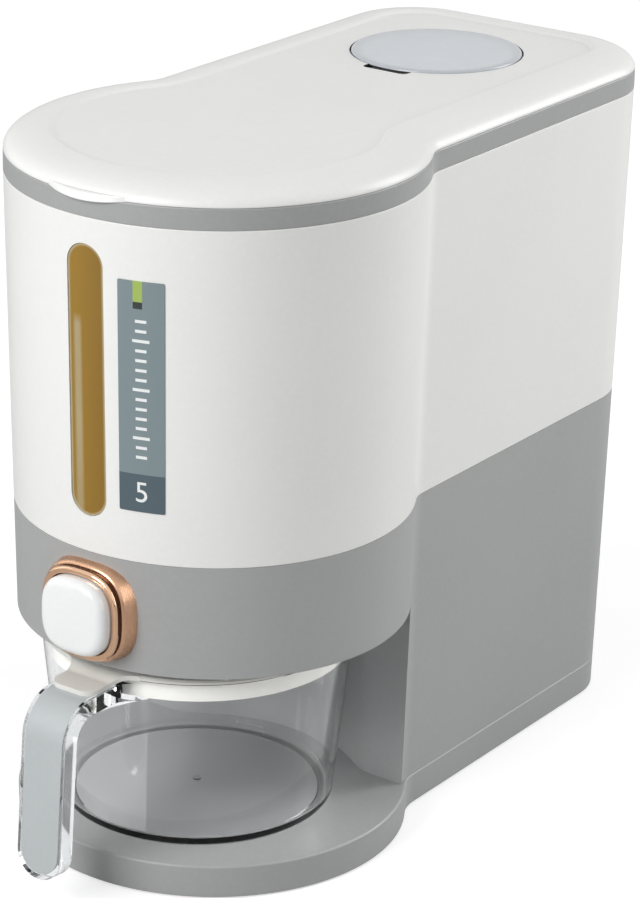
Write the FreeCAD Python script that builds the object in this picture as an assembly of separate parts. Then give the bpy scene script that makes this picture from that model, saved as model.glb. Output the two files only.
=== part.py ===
"""Countertop rice dispenser with a pull-out measuring cup, built piece by piece.

Frame: +Z up, -Y towards the user, origin on the table under the middle of the whole length.
Every piece is drawn about the axis of the round front and moved to that frame when it is saved.
Lengths are in millimetres.
"""
import FreeCAD, Part
import math
import os

vec = FreeCAD.Vector

# ---- keyhole plan of the body, given at the rim -------------------------------------------
front_radius = 92.0        # round front, about the Z axis
half_width = 77.5          # half the width of the narrower rear box
rear_reach = 248.0         # rear face, from the front axis
neck_fillet = 17.0         # hollow fillet between the round front and the rear box
rear_corner = 41.0         # round of the rear corners
draft = 0.0195             # inward lean of every outer wall, mm per mm going down
tray_bulge = 2.2           # the round of the tray stands out this much further
wall = 2.5                 # moulded wall

# ---- heights ------------------------------------------------------------------------------
foot_height = 0.8
tray_top = 16.0            # floor that the cup stands on, and seam under the column
joint_height = 156.5       # seam between the lower body and the container
head_height = 51.5         # overhanging head, from its underside to that seam
rim_bottom = 305.5
rim_height = 9.5
crown_rise = 9.0           # lid crest above the rim
crown_width = 20.0         # plan width of the rounded lid edge
panel_sink = 1.5           # lid panel below the crest

head_bottom = joint_height - head_height
rim_top = rim_bottom + rim_height
panel_top = rim_top + crown_rise - panel_sink

# ---- clearances ---------------------------------------------------------------------------
slip = 0.2                 # between fixed pieces that are only set into each other
free_gap = 0.3             # between pieces that move past each other
button_gap = 0.45          # around the button cap
running_gap = 0.08         # radial, shaft in a hole

# ---- cup ----------------------------------------------------------------------------------
cup_centre_y = -12.0
cup_side_gap = 7.5         # cup rim inside the rear box's half width
cup_taper = 8.5            # base radius less than the rim's
cup_headroom = 7.0         # cup rim below the head
cup_wall = 2.4
cup_floor = 3.5
cup_base_round = 3.0
gate_mark_radius = 1.8
gate_mark_height = 0.6
gate_mark_round = 0.35
cup_rim_radius = half_width - cup_side_gap
cup_base_radius = cup_rim_radius - cup_taper
cup_rim_height = head_bottom - cup_headroom
cup_front = cup_rim_radius - cup_centre_y
bay_clearance = 6.0        # between the cup rim and the bay wall
shoulder_y = 45.0          # flat front of the column beside the bay
shoulder_round = 25.0
column_edge_round = 3.5
tray_edge_round = 1.2

# ---- cup collar and handle ----------------------------------------------------------------
collar_thickness = 2.6
collar_overhang = 1.0
collar_edge = 0.8
collar_width = 6.5
skirt_depth = 8.5
skirt_thickness = 1.6
skirt_gap = 0.15
tab_half_width = 11.6
tab_thickness = 2.2
tab_length = 21.2          # thumb tab beyond the cup rim
tab_flare = 12.0           # round where the tab leaves the collar
tab_slope_gap = 1.0        # from the cup rim to the start of the tab's drop
tab_slope_run = 8.0
handle_half_width = 11.8
handle_thickness = 8.2
handle_drop = 1.8          # top of the grip below the cup rim
handle_bend_radius = 18.5  # outer radius of the bend
handle_run = 20.0          # straight top of the grip, beyond the cup rim
handle_bottom = 15.8
handle_lean = 0.075        # outward lean, mm per mm going down
insert_half_width = 10.2
insert_thickness = 1.3
insert_bottom_margin = 2.6
insert_gap = 2.0           # from the cup rim to the start of the insert
tab_reach = cup_front + tab_length
tab_slope_start = cup_front + tab_slope_gap
tab_slope_end = tab_slope_start + tab_slope_run
handle_top = cup_rim_height - handle_drop
handle_bend_y = -cup_front - handle_run
insert_start_y = -cup_front - insert_gap

# ---- push button --------------------------------------------------------------------------
button_drop = 26.5         # button axis below the container seam
button_half = 17.3
button_proud = 10.9        # front of the cap beyond the rim's radius
button_round = 3.9
button_skirt = 14.9        # depth of the cap behind its front
button_skin = 3.0
button_wall = 2.4
squircle_power = 2.8
bezel_foot_half = 23.6     # at the spigot's back, the sides lean in towards the front
bezel_half = 21.7
bezel_step_proud = 1.0     # step of the bezel beyond the rim's radius
bezel_proud = 4.6
bezel_ring_half = 20.5
bezel_round = 1.2
spigot_wall = 1.6
spigot_depth = 8.0         # back of the spigot inside the rim's radius
guide_depth = 26.0
guide_floor = 2.5
rod_radius = 4.0
clip_thickness = 1.2
clip_gap = 0.1
clip_radius = 7.0
spring_radius = 8.5        # middle of the wire
spring_wire = 1.2
spring_turns = 8
button_height = joint_height - button_drop
button_front = front_radius + button_proud
bezel_step_front = front_radius + bezel_step_proud
bezel_front = front_radius + bezel_proud
spigot_back = front_radius - spigot_depth
guide_back = front_radius - guide_depth

# ---- outlet and gate ----------------------------------------------------------------------
pivot_drop = 9.0           # gate pin below the button axis
pivot_height = button_height - pivot_drop
outlet_half_x = 17.0
outlet_front = -27.0
outlet_back = -5.0
outlet_wall = 2.5
spout_rise = 5.0           # lower end of the spout above the gate pin
throat_height = 15.0       # straight part of the spout at the front and sides
funnel_front_run = 33.0
funnel_back_rise = 5.0     # start of the rear slope above the spout's lower end
funnel_back_climb = 83.0
funnel_side_slope = 0.40
funnel_skin = 2.5
spout_bottom = pivot_height + spout_rise
funnel_height = spout_bottom + throat_height
funnel_back_start = spout_bottom + funnel_back_rise
funnel_back_end = funnel_back_start + funnel_back_climb
pivot_y = -38.0
pin_radius = 1.5
flap_thickness = 2.0
flap_tip = -3.0
lever_thickness = 3.0      # in front of the pivot
lever_reach = 12.0         # height of the push point above the pivot
lever_over = 2.5
lever_half_width = 6.0
hub_radius = 3.2
nose_radius = 2.0
nose_gap = 0.4
nose_reach = 12.0          # raised bar between the rod and its nose
riser_length = 4.0
frame_half_x = 19.8        # inner face of the two side plates
frame_plate = 2.5
frame_margin = 1.0         # side plate beyond the hub
frame_foot = 6.0
frame_foot_thickness = 2.0
hub_end = 1.5              # hub left outside the torsion spring
torsion_turns = 4
torsion_wire = 0.7
torsion_pitch = 0.91
exit_half_x = 19.5
exit_front = -30.0
exit_back = 0.0
floor_thickness = 2.5

# ---- ledge, skirt and tongue --------------------------------------------------------------
ledge_drop = 3.0           # ledge below the container seam
ledge_thickness = 2.0
ledge_width = 4.0
skirt_wall = 2.2
funnel_flat_drop = 0.5     # flat edge of the funnel below that seam
tongue_depth = 6.0
tongue_wall = 1.5
band_wall = 4.0
ledge_top = joint_height - ledge_drop
ledge_bottom = ledge_top - ledge_thickness
funnel_flat = joint_height - funnel_flat_drop

# ---- window and label ---------------------------------------------------------------------
window_half_width = 9.4
window_foot = 16.5         # lower end of the window above the seam
window_head = 11.5         # upper end of the window below the rim
lens_sink = 0.5
lens_flange = 4.0
lens_flange_thickness = 1.5
window_seal_thickness = 0.6
label_start = 16.54        # from the middle, along the round front
label_width = 20.87
label_margin = 23.5        # from the seam and from the rim
label_thickness = 0.4
window_low = joint_height + window_foot
window_high = rim_bottom - window_head
label_low = joint_height + label_margin
label_high = rim_bottom - label_margin

# ---- lid ----------------------------------------------------------------------------------
lid_skin = 2.4
plug_depth = 8.0
plug_wall = 2.2
plug_gap = 0.4
lid_cavity_height = 1.5
seal_drop = 2.5            # top of the lid seal below the rim's top
seal_height = 3.0
seal_depth = 1.0
seal_groove_gap = 0.1
seal_squeeze = 0.1         # how far the seal stands out of its groove
crown_sections = 7
lip_half_width = 19.91     # along the round front
lip_reach = 3.0
lip_below = 1.8            # lip below and above the rim's top
lip_above = 2.0
cap_inset = 80.0           # cap axis in front of the rear face
cap_radius = 39.7
cap_seat_sink = 2.2        # seat of the cap below the lid panel
cap_thickness = 3.1
cap_edge_round = 1.4
cap_wall = 1.6
cap_plug_depth = 6.0
basket_radius = 30.7
basket_wall = 1.5
basket_flange = 4.3
basket_flange_thickness = 1.5
basket_depth = 24.0
basket_chamfer = 2.0
basket_slots = 10
basket_slot_width = 1.8
basket_slot_from = 8.0
basket_slot_margin = 5.7   # outer end of the slots inside the basket's radius
lid_boss_depth = 3.0       # boss below the basket flange
lid_boss_wall = 5.4
notch_half_width = 12.0
notch_depth = 4.5
notch_under = 3.0          # how far it runs under the cap
notch_drop = 3.2
notch_round = 3.0
cap_seal_thickness = 0.7
cap_seal_height = 2.0
cap_seal_drop = 2.8
seal_high = rim_top - seal_drop
seal_low = seal_high - seal_height
lip_low = rim_top - lip_below
lip_high = rim_top + lip_above
cap_y = rear_reach - cap_inset
cap_seat_height = panel_top - cap_seat_sink
cap_top = cap_seat_height + cap_thickness

# ---- feet and screws ----------------------------------------------------------------------
plate_thickness = 2.0
foot_radius = 9.0
foot_edge_round = 0.4
foot_stub_radius = 4.0
front_foot = (45.0, -48.0)
rear_foot = (48.0, 36.0)   # sideways, and in front of the rear face
screw_radius = 1.5
screw_head_radius = 3.0
screw_head_height = 1.6
sunk_head_height = 1.2
driver_reach = 2.0         # half length of the cross cut in a screw head
driver_blade = 0.4         # half width of that cut
driver_depth = 0.5         # share of the head's height
boss_radius = 4.0
tray_screw_end = 1.0       # tip of these screws below the tray's skin
front_tray_screw = (58.0, -8.0)
rear_tray_screw = (55.0, 58.0)
column_screws_behind = (153.0, 53.0)    # in front of the rear face
column_screw_inset = 6.0   # from the outer wall to the screw axis
column_screw_length = 12.0
head_screw_angles = (-170.0, -130.0, -50.0, -10.0)
head_screw_inset = 5.6
head_screw_length = 9.0
frame_screw_y = -14.0

cut_over = 1.0             # how far a cutting tool runs past the face it opens


def shape_at(height, inset, bulge=0.0):
    """Sizes of the keyhole plan at a height, moved inwards by inset."""
    shrink = inset + draft * max(0.0, rim_bottom - height)
    radius = front_radius - shrink + bulge
    half = half_width - shrink
    neck = neck_fillet + shrink
    neck_x = half + neck
    neck_y = math.sqrt((radius + neck) ** 2 - neck_x ** 2)
    return radius, half, rear_reach - shrink, neck, neck_x, neck_y, rear_corner - shrink


def polar(centre_x, centre_y, radius, angle, height):
    """Point on a level circle."""
    return vec(centre_x + radius * math.cos(angle), centre_y + radius * math.sin(angle), height)


def arc(centre_x, centre_y, radius, start, end, height):
    """Level arc between two angles in radians."""
    return Part.Arc(
        polar(centre_x, centre_y, radius, start, height),
        polar(centre_x, centre_y, radius, (start + end) / 2, height),
        polar(centre_x, centre_y, radius, end, height),
    ).toShape()


def outline(height, inset=0.0, bulge=0.0):
    """Keyhole wire: round front, two hollow necks, straight sides and round rear corners."""
    radius, half, rear, neck, neck_x, neck_y, corner = shape_at(height, inset, bulge)
    meet = math.atan2(neck_y, neck_x)
    side = rear - corner
    edges = [
        arc(0, 0, radius, -math.pi - meet, meet, height),
        arc(neck_x, neck_y, neck, meet + math.pi, math.pi, height),
        Part.makeLine(vec(half, neck_y, height), vec(half, side, height)),
        arc(half - corner, side, corner, 0, math.pi / 2, height),
        Part.makeLine(vec(half - corner, rear, height), vec(corner - half, rear, height)),
        arc(corner - half, side, corner, math.pi / 2, math.pi, height),
        Part.makeLine(vec(-half, side, height), vec(-half, neck_y, height)),
        arc(-neck_x, neck_y, neck, 0, -meet, height),
    ]
    return Part.Wire(edges)


def tapered(low, high, inset=0.0, bulge=0.0):
    """Solid keyhole block with the body's draft."""
    return Part.makeLoft([outline(low, inset, bulge), outline(high, inset, bulge)], True, True)


def ring(low, high, outer_inset, inner_inset):
    """Keyhole tube between two insets."""
    return tapered(low, high, outer_inset).cut(tapered(low, high, inner_inset))


def box(x_range, y_range, z_range):
    """Block between pairs of limits."""
    return Part.makeBox(
        x_range[1] - x_range[0],
        y_range[1] - y_range[0],
        z_range[1] - z_range[0],
        vec(x_range[0], y_range[0], z_range[0]),
    )


def rod(radius, length, start, direction):
    """Cylinder from a start point."""
    return Part.makeCylinder(radius, length, start, direction)


def post(radius, x, y, low, high):
    """Upright cylinder between two heights."""
    return rod(radius, high - low, vec(x, y, low), vec(0, 0, 1))


def wedge(start_degrees, end_degrees, low, high):
    """Upright wedge from the front axis between two directions, past the round front."""
    reach = 2 * front_radius
    start = polar(0, 0, reach, math.radians(start_degrees), low)
    end = polar(0, 0, reach, math.radians(end_degrees), low)
    face = Part.Face(Part.makePolygon([vec(0, 0, low), start, end, vec(0, 0, low)]))
    return face.extrude(vec(0, 0, high - low))


def rounded_top(shape, radius):
    """Round every edge of the highest face."""
    top = shape.BoundBox.ZMax
    return shape.makeFillet(radius, [edge for edge in shape.Edges if edge.BoundBox.ZMin > top - 0.01])


def rounded_bottom(shape, radius):
    """Round every edge of the lowest face."""
    bottom = shape.BoundBox.ZMin
    return shape.makeFillet(radius, [edge for edge in shape.Edges if edge.BoundBox.ZMax < bottom + 0.01])


def side_prism(points, half):
    """Polygon given as (y, z), made 2 x half wide along X."""
    corners = [vec(-half, y, z) for y, z in points]
    return Part.Face(Part.makePolygon(corners + corners[:1])).extrude(vec(2 * half, 0, 0))


def front_prism(points, y_range):
    """Polygon given as (x, z), running along Y."""
    corners = [vec(x, y_range[0], z) for x, z in points]
    depth = vec(0, y_range[1] - y_range[0], 0)
    return Part.Face(Part.makePolygon(corners + corners[:1])).extrude(depth)


def turned(points, centre_y):
    """Profile given as (radius, z), turned about a vertical axis on the middle plane."""
    corners = [vec(radius, centre_y, z) for radius, z in points]
    face = Part.Face(Part.makePolygon(corners + corners[:1]))
    return face.revolve(vec(0, centre_y, 0), vec(0, 0, 1), 360)


def squircle(half, y):
    """Soft square wire round the button axis, in the plane y."""
    steps = 32
    points = []
    for step in range(steps):
        angle = 2 * math.pi * step / steps
        across = math.cos(angle)
        up = math.sin(angle)
        x = half * math.copysign(abs(across) ** (2 / squircle_power), across)
        z = half * math.copysign(abs(up) ** (2 / squircle_power), up)
        points.append(vec(x, y, button_height + z))
    curve = Part.BSplineCurve()
    curve.interpolate(Points=points, PeriodicFlag=True)
    return Part.Wire(curve.toShape())


def soft_block(half, front, back):
    """Soft square bar from y = -front to y = -back."""
    return Part.Face(squircle(half, -front)).extrude(vec(0, front - back, 0))


def stadium(grow, y_range):
    """Window-shaped bar along Y, with round ends."""
    half = window_half_width + grow
    low = window_low + window_half_width
    high = window_high - window_half_width
    start, end = y_range
    edges = [
        Part.makeLine(vec(half, start, low), vec(half, start, high)),
        Part.Arc(vec(half, start, high), vec(0, start, high + half), vec(-half, start, high)).toShape(),
        Part.makeLine(vec(-half, start, high), vec(-half, start, low)),
        Part.Arc(vec(-half, start, low), vec(0, start, low - half), vec(half, start, low)).toShape(),
    ]
    return Part.Face(Part.Wire(edges)).extrude(vec(0, end - start, 0))


def joined(shapes):
    """One solid from touching shapes."""
    whole = shapes[0]
    for shape in shapes[1:]:
        whole = whole.fuse(shape)
    return whole.removeSplitter()


def mirrored(spots):
    """The same spots on both sides of the middle plane."""
    return [(side * x, y) for x, y in spots for side in (-1, 1)]


def screw(x, y, head_top, length, head_height=screw_head_height):
    """Cross-head screw driven upwards, its head under head_top."""
    low = head_top - head_height
    head = post(screw_head_radius, x, y, low, head_top)
    shank = post(screw_radius, x, y, head_top, head_top + length)
    deep = (low, low + head_height * driver_depth)
    slot = box((x - driver_reach, x + driver_reach), (y - driver_blade, y + driver_blade), deep)
    cross = box((x - driver_blade, x + driver_blade), (y - driver_reach, y + driver_reach), deep)
    return joined([head, shank]).cut(slot).cut(cross)


def bay_plan(grow, low, high):
    """Room in front of the column: round behind the cup, with flat shoulders beside it."""
    radius = cup_rim_radius + bay_clearance + grow
    shoulder = shoulder_y + grow
    fillet = shoulder_round - grow
    centre_y = shoulder + fillet
    reach = radius + fillet
    centre_x = math.sqrt(reach ** 2 - (centre_y - cup_centre_y) ** 2)
    lean = math.atan2(centre_y - cup_centre_y, centre_x)
    side = front_radius + cut_over
    front = -front_radius - cut_over
    edges = [
        Part.makeLine(vec(-side, front, low), vec(side, front, low)),
        Part.makeLine(vec(side, front, low), vec(side, shoulder, low)),
        Part.makeLine(vec(side, shoulder, low), vec(centre_x, shoulder, low)),
        arc(centre_x, centre_y, fillet, -math.pi / 2, lean - math.pi, low),
        arc(0, cup_centre_y, radius, lean, math.pi - lean, low),
        arc(-centre_x, centre_y, fillet, -lean, -math.pi / 2, low),
        Part.makeLine(vec(-centre_x, shoulder, low), vec(-side, shoulder, low)),
        Part.makeLine(vec(-side, shoulder, low), vec(-side, front, low)),
    ]
    return Part.Face(Part.Wire(edges)).extrude(vec(0, 0, high - low))


# ---- base ---------------------------------------------------------------------------------
def from_rear(spot):
    """Spot given as (x, distance in front of the rear face)."""
    return spot[0], rear_reach - spot[1]


def tray_screws():
    """Centres of the screws that hold the bottom plate."""
    return mirrored([front_tray_screw, from_rear(rear_tray_screw)])


def column_screws():
    """Centres of the screws between the tray and the column."""
    side = shape_at(tray_top, 0)[1] - column_screw_inset
    return mirrored([from_rear((side, behind)) for behind in column_screws_behind])


def foot_spots():
    """Centres of the four feet."""
    return mirrored([front_foot, from_rear(rear_foot)])


def make_base_tray():
    """Tray under the whole body: floor, rim wall and screw bosses."""
    block = rounded_top(tapered(foot_height, tray_top, 0, tray_bulge), tray_edge_round)
    underside = tray_top - wall
    body = block.cut(tapered(foot_height - cut_over, underside, wall, tray_bulge))
    boss_bottom = foot_height + plate_thickness
    for x, y in tray_screws():
        body = body.fuse(post(boss_radius, x, y, boss_bottom, underside))
        body = body.cut(post(screw_radius, x, y, boss_bottom, boss_bottom + tray_screw_length()))
    for x, y in column_screws():
        body = body.cut(post(screw_radius, x, y, underside, tray_top))
    return body.removeSplitter()


def tray_screw_length():
    """Shank of a bottom-plate screw above the plate's top."""
    return tray_top - wall - foot_height - plate_thickness - tray_screw_end


def make_bottom_plate():
    """Flat cover inside the tray wall."""
    top = foot_height + plate_thickness
    body = tapered(foot_height, top, wall + slip, tray_bulge)
    for x, y in foot_spots():
        body = body.cut(post(foot_stub_radius, x, y, foot_height, top))
    for x, y in tray_screws():
        body = body.cut(post(screw_radius, x, y, foot_height, top))
        body = body.cut(post(screw_head_radius + slip, x, y, foot_height, foot_height + sunk_head_height))
    return body


def make_rubber_feet():
    """Four pads with stubs pressed into the bottom plate."""
    feet = []
    for x, y in foot_spots():
        pad = rounded_bottom(post(foot_radius, x, y, 0, foot_height), foot_edge_round)
        stub = post(foot_stub_radius, x, y, foot_height, foot_height + plate_thickness)
        feet.append(joined([pad, stub]))
    return Part.makeCompound(feet)


def make_base_screws():
    """Screws through the bottom plate into the tray bosses, their heads sunk in the plate."""
    length = plate_thickness - sunk_head_height + tray_screw_length()
    head_top = foot_height + sunk_head_height
    return Part.makeCompound(
        [screw(x, y, head_top, length, sunk_head_height) for x, y in tray_screws()]
    )


def make_column_screws():
    """Screws from inside the tray up into the column."""
    underside = tray_top - wall
    return Part.makeCompound([screw(x, y, underside, column_screw_length) for x, y in column_screws()])


# ---- lower body ---------------------------------------------------------------------------
def head_screws():
    """Centres of the screws in the head floor."""
    radius = shape_at(head_bottom, 0)[0] - head_screw_inset
    spots = []
    for degrees in head_screw_angles:
        angle = math.radians(degrees)
        spots.append((radius * math.cos(angle), radius * math.sin(angle)))
    return spots


def make_lower_body():
    """Grey shell: overhanging head, column with its bay wall, ledge and bosses."""
    outer = tapered(tray_top, joint_height)
    bay = bay_plan(0, tray_top - cut_over, head_bottom)
    block = outer.cut(bay)
    corner_edges = [edge for edge in block.Edges if is_column_edge(edge)]
    block = block.makeFillet(column_edge_round, corner_edges)
    inside = tapered(tray_top - cut_over, joint_height + cut_over, wall)
    bay_skin = bay_plan(wall, tray_top - cut_over, head_bottom + floor_thickness)
    head_room = bay_plan(0, head_bottom - cut_over, head_bottom + floor_thickness + cut_over)
    keep = bay_skin.cut(head_room)
    body = block.cut(inside.cut(keep))
    body = body.fuse(ring(ledge_bottom, ledge_top, wall - slip, wall + ledge_width))
    floor_top = head_bottom + floor_thickness
    for x, y in head_screws():
        tip = head_bottom + head_screw_length
        body = body.fuse(post(boss_radius, x, y, floor_top, tip + wall))
        body = body.cut(post(screw_radius, x, y, floor_top, tip))
    for x, y in column_screws():
        tip = tray_top - wall + column_screw_length
        body = body.fuse(post(boss_radius, x, y, tray_top, tip + wall))
        body = body.cut(post(screw_radius, x, y, tray_top, tip))
    body = body.cut(soft_block(button_half + button_gap + spigot_wall + slip, bezel_front, guide_back))
    return body.common(tapered(tray_top, joint_height)).removeSplitter()


def is_column_edge(edge):
    """True for the two upright edges where the bay meets the side walls."""
    limits = edge.BoundBox
    tall = limits.ZLength > (head_bottom - tray_top) * 0.9
    return tall and abs(limits.YMin - shoulder_y) < 0.5 and abs(limits.XMin) > half_width / 2


def make_head_floor():
    """Plate that closes the head from below, with the rice exit."""
    top = head_bottom + floor_thickness
    body = tapered(head_bottom, top, wall + slip).common(bay_plan(-slip, head_bottom, top))
    body = body.cut(box((-exit_half_x, exit_half_x), (exit_front, exit_back), (head_bottom, top)))
    for x, y in head_screws() + frame_screws():
        body = body.cut(post(screw_radius, x, y, head_bottom, top))
    return body


def make_head_screws():
    """Screws through the head floor."""
    return Part.makeCompound([screw(x, y, head_bottom, head_screw_length) for x, y in head_screws()])


# ---- hopper and gate ----------------------------------------------------------------------
def funnel_room(skin):
    """Rice room above the funnel, lowered and widened by skin."""
    slope = (funnel_back_end - funnel_back_start) / (rear_reach - outlet_back)
    back_drop = skin * math.sqrt(1 + slope ** 2)
    front_slope = (funnel_flat - funnel_height) / funnel_front_run
    front_drop = skin * math.sqrt(1 + front_slope ** 2)
    front = outlet_front - skin
    back = outlet_back + skin
    flat = funnel_flat - skin
    flat_y = front - (flat - (funnel_height - front_drop)) / front_slope
    start = funnel_back_start - back_drop
    bottom = spout_bottom if skin else spout_bottom - cut_over
    ceiling = rim_bottom
    length_wise = side_prism(
        [
            (-front_radius, flat),
            (flat_y, flat),
            (front, funnel_height - front_drop),
            (front, bottom),
            (back, bottom),
            (back, start),
            (rear_reach, start + slope * (rear_reach - back)),
            (rear_reach, ceiling),
            (-front_radius, ceiling),
        ],
        front_radius,
    )
    side_drop = skin * math.sqrt(1 + funnel_side_slope ** 2)
    throat = outlet_half_x + skin
    low = funnel_height - side_drop
    high = low + funnel_side_slope * (front_radius - throat)
    cross_wise = front_prism(
        [
            (-front_radius, high),
            (-throat, low),
            (-throat, bottom),
            (throat, bottom),
            (throat, low),
            (front_radius, high),
            (front_radius, ceiling),
            (-front_radius, ceiling),
        ],
        (-front_radius, rear_reach),
    )
    return length_wise.common(cross_wise)


def make_hopper():
    """Sloping rice floor with a spout, and a skirt that stands on the ledge."""
    room = funnel_room(0)
    limit = tapered(ledge_top, rim_bottom, wall + slip)
    throat_limit = tapered(spout_bottom, ledge_top, wall + ledge_width + slip)
    funnel = funnel_room(funnel_skin).cut(room)
    upper = funnel.common(limit)
    lower = funnel.common(throat_limit)
    skirt_top = funnel_back_end + wall
    skirt = ring(ledge_top, skirt_top, wall + slip, wall + slip + skirt_wall)
    beyond = funnel_room(funnel_skin / 2)
    return joined([upper, lower, skirt.cut(beyond).cut(room)])


def frame_screws():
    """Centres of the screws in the gate frame's feet."""
    return mirrored([(frame_half_x + frame_plate + frame_foot / 2, frame_screw_y)])


def make_gate_frame():
    """Mouth under the spout with two side plates that carry the gate pin."""
    floor_top = head_bottom + floor_thickness
    mouth_bottom = pivot_height + flap_thickness / 2 + free_gap
    front = outlet_front - outlet_wall
    back = outlet_back + outlet_wall
    plate_front = pivot_y - hub_radius - frame_margin
    outer = frame_half_x + frame_plate
    pieces = [box((-outer, outer), (front, back), (mouth_bottom, spout_bottom))]
    for side in (-1, 1):
        x_range = sorted((side * frame_half_x, side * outer))
        pieces.append(box(x_range, (plate_front, back), (floor_top, spout_bottom)))
        foot_x = sorted((side * outer, side * (outer + frame_foot)))
        foot_y = (frame_screw_y - frame_foot, frame_screw_y + frame_foot)
        pieces.append(box(foot_x, foot_y, (floor_top, floor_top + frame_foot_thickness)))
    body = joined(pieces)
    body = body.cut(
        box((-outlet_half_x, outlet_half_x), (outlet_front, outlet_back), (mouth_bottom, spout_bottom))
    )
    body = body.cut(rod(pin_radius, 2 * outer, vec(-outer, pivot_y, pivot_height), vec(1, 0, 0)))
    for x, y in frame_screws():
        body = body.cut(post(screw_radius, x, y, floor_top, floor_top + frame_foot_thickness))
    return body


def make_frame_screws():
    """Two screws from below through the head floor into the gate frame's feet."""
    length = floor_thickness + frame_foot_thickness
    return Part.makeCompound([screw(x, y, head_bottom, length) for x, y in frame_screws()])


def make_gate_pin():
    """Pin across the gate frame."""
    outer = frame_half_x + frame_plate
    return rod(pin_radius, 2 * outer, vec(-outer, pivot_y, pivot_height), vec(1, 0, 0))


def make_gate_flap():
    """Flap with its hub and push lever."""
    half = frame_half_x - free_gap
    low = pivot_height - flap_thickness / 2
    plate = box((-half, half), (pivot_y, flap_tip), (low, low + flap_thickness))
    hub = rod(hub_radius, 2 * half, vec(-half, pivot_y, pivot_height), vec(1, 0, 0))
    top = pivot_height + lever_reach + lever_over
    y_range = (pivot_y - lever_thickness, pivot_y)
    lever = box((-lever_half_width, lever_half_width), y_range, (pivot_height, top))
    bore = rod(pin_radius + running_gap, 2 * half, vec(-half, pivot_y, pivot_height), vec(1, 0, 0))
    start, end = torsion_room()
    reach = hub_radius + free_gap
    room = box(
        (start, end),
        (pivot_y - reach, pivot_y + reach),
        (pivot_height - reach, pivot_height + reach),
    )
    return joined([piece.cut(bore).cut(room) for piece in (plate, hub, lever)])


def torsion_room():
    """Stretch of the hub left out for the torsion spring's coil, along X."""
    end = frame_half_x - free_gap - hub_end
    return end - torsion_turns * torsion_pitch - 2 * free_gap, end


def make_gate_spring():
    """Torsion spring wound round the gate pin."""
    radius = pin_radius + running_gap + free_gap + torsion_wire / 2
    coil = helix_solid(radius, torsion_wire / 2, torsion_pitch, torsion_turns)
    coil.rotate(vec(0, 0, 0), vec(0, 1, 0), 90)
    coil.translate(vec(torsion_room()[0] + free_gap, pivot_y, pivot_height))
    return coil


def helix_solid(radius, wire_radius, pitch, turns):
    """Round wire wound on a helix that climbs +Z from the origin."""
    path = Part.makeHelix(pitch, pitch * turns, radius)
    section = Part.Wire(Part.makeCircle(wire_radius, vec(radius, 0, 0), vec(0, 1, 0)))
    return Part.Wire(path.Edges).makePipeShell([section], True, True)


# ---- button -------------------------------------------------------------------------------
def make_button_bezel():
    """Stepped metallised ring with a spigot through the head wall."""
    foot = squircle(bezel_foot_half, -spigot_back)
    step = Part.makeLoft([squircle(bezel_half, -bezel_step_front), foot], True, True)
    step = round_front(step, bezel_step_front, bezel_round)
    top = soft_block(bezel_ring_half, bezel_front, bezel_step_front)
    top = round_front(top, bezel_front, bezel_round)
    proud = joined([step, top]).cut(tapered(tray_top, joint_height))
    opening_half = button_half + button_gap
    spigot = soft_block(opening_half + spigot_wall, bezel_step_front, spigot_back)
    body = joined([proud, spigot])
    return body.cut(soft_block(opening_half, bezel_front + cut_over, guide_back))


def round_front(shape, front, radius):
    """Round the front rim of a soft block."""
    edges = [edge for edge in shape.Edges if edge.BoundBox.YMax < -front + 0.05]
    return shape.makeFillet(radius, edges)


def make_button_guide():
    """Soft square sleeve behind the bezel, with the rod's guide hole."""
    inner = button_half + button_gap
    body = soft_block(inner + spigot_wall, spigot_back, guide_back)
    body = body.cut(soft_block(inner, spigot_back, guide_back + guide_floor))
    start = vec(0, -guide_back - guide_floor, button_height)
    return body.cut(rod(rod_radius + running_gap, guide_floor, start, vec(0, 1, 0)))


def make_button_cap():
    """Hollow pillow-fronted cap."""
    body = soft_block(button_half, button_front, button_front - button_skirt)
    body = round_front(body, button_front, button_round)
    inner = button_half - button_wall
    hollow = soft_block(inner, button_front - button_skin, button_front - button_skirt)
    return body.cut(hollow)


def nose_y():
    """Centre of the rod's round nose at rest."""
    return pivot_y - lever_thickness - nose_radius - nose_gap


def make_push_rod():
    """Rod from the cap to the lever, with a raised round nose."""
    start = button_skin - button_front
    nose_height = pivot_height + lever_reach
    bar_start = nose_y() - nose_reach
    width = (-rod_radius, rod_radius)
    bar_height = (nose_height - nose_radius, nose_height + nose_radius)
    riser_height = (button_height - rod_radius, nose_height + nose_radius)
    shank = rod(rod_radius, bar_start + riser_length - start, vec(0, start, button_height), vec(0, 1, 0))
    riser = box(width, (bar_start, bar_start + riser_length), riser_height)
    bar = box(width, (bar_start, nose_y()), bar_height)
    nose = rod(nose_radius, 2 * rod_radius, vec(-rod_radius, nose_y(), nose_height), vec(1, 0, 0))
    return joined([shank, riser, bar, nose])


def make_rod_clip():
    """Retaining ring behind the guide."""
    start = vec(0, clip_gap - guide_back, button_height)
    ring_body = rod(clip_radius, clip_thickness, start, vec(0, 1, 0))
    return ring_body.cut(rod(rod_radius, clip_thickness, start, vec(0, 1, 0)))


def make_return_spring():
    """Compression spring round the rod, between the cap and the guide floor."""
    front = button_front - button_skin - clip_gap
    back = guide_back + guide_floor + clip_gap
    length = front - back
    pitch = (length - spring_wire) / spring_turns
    coil = helix_solid(spring_radius, spring_wire / 2, pitch, spring_turns)
    coil.rotate(vec(0, 0, 0), vec(1, 0, 0), -90)
    coil.translate(vec(0, -front + spring_wire / 2, button_height))
    return coil


# ---- container ----------------------------------------------------------------------------
def make_upper_container():
    """White rice container with the window slot."""
    body = ring(joint_height, rim_bottom, 0, wall)
    return body.cut(stadium(0, (-front_radius - cut_over, 0)))


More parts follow.
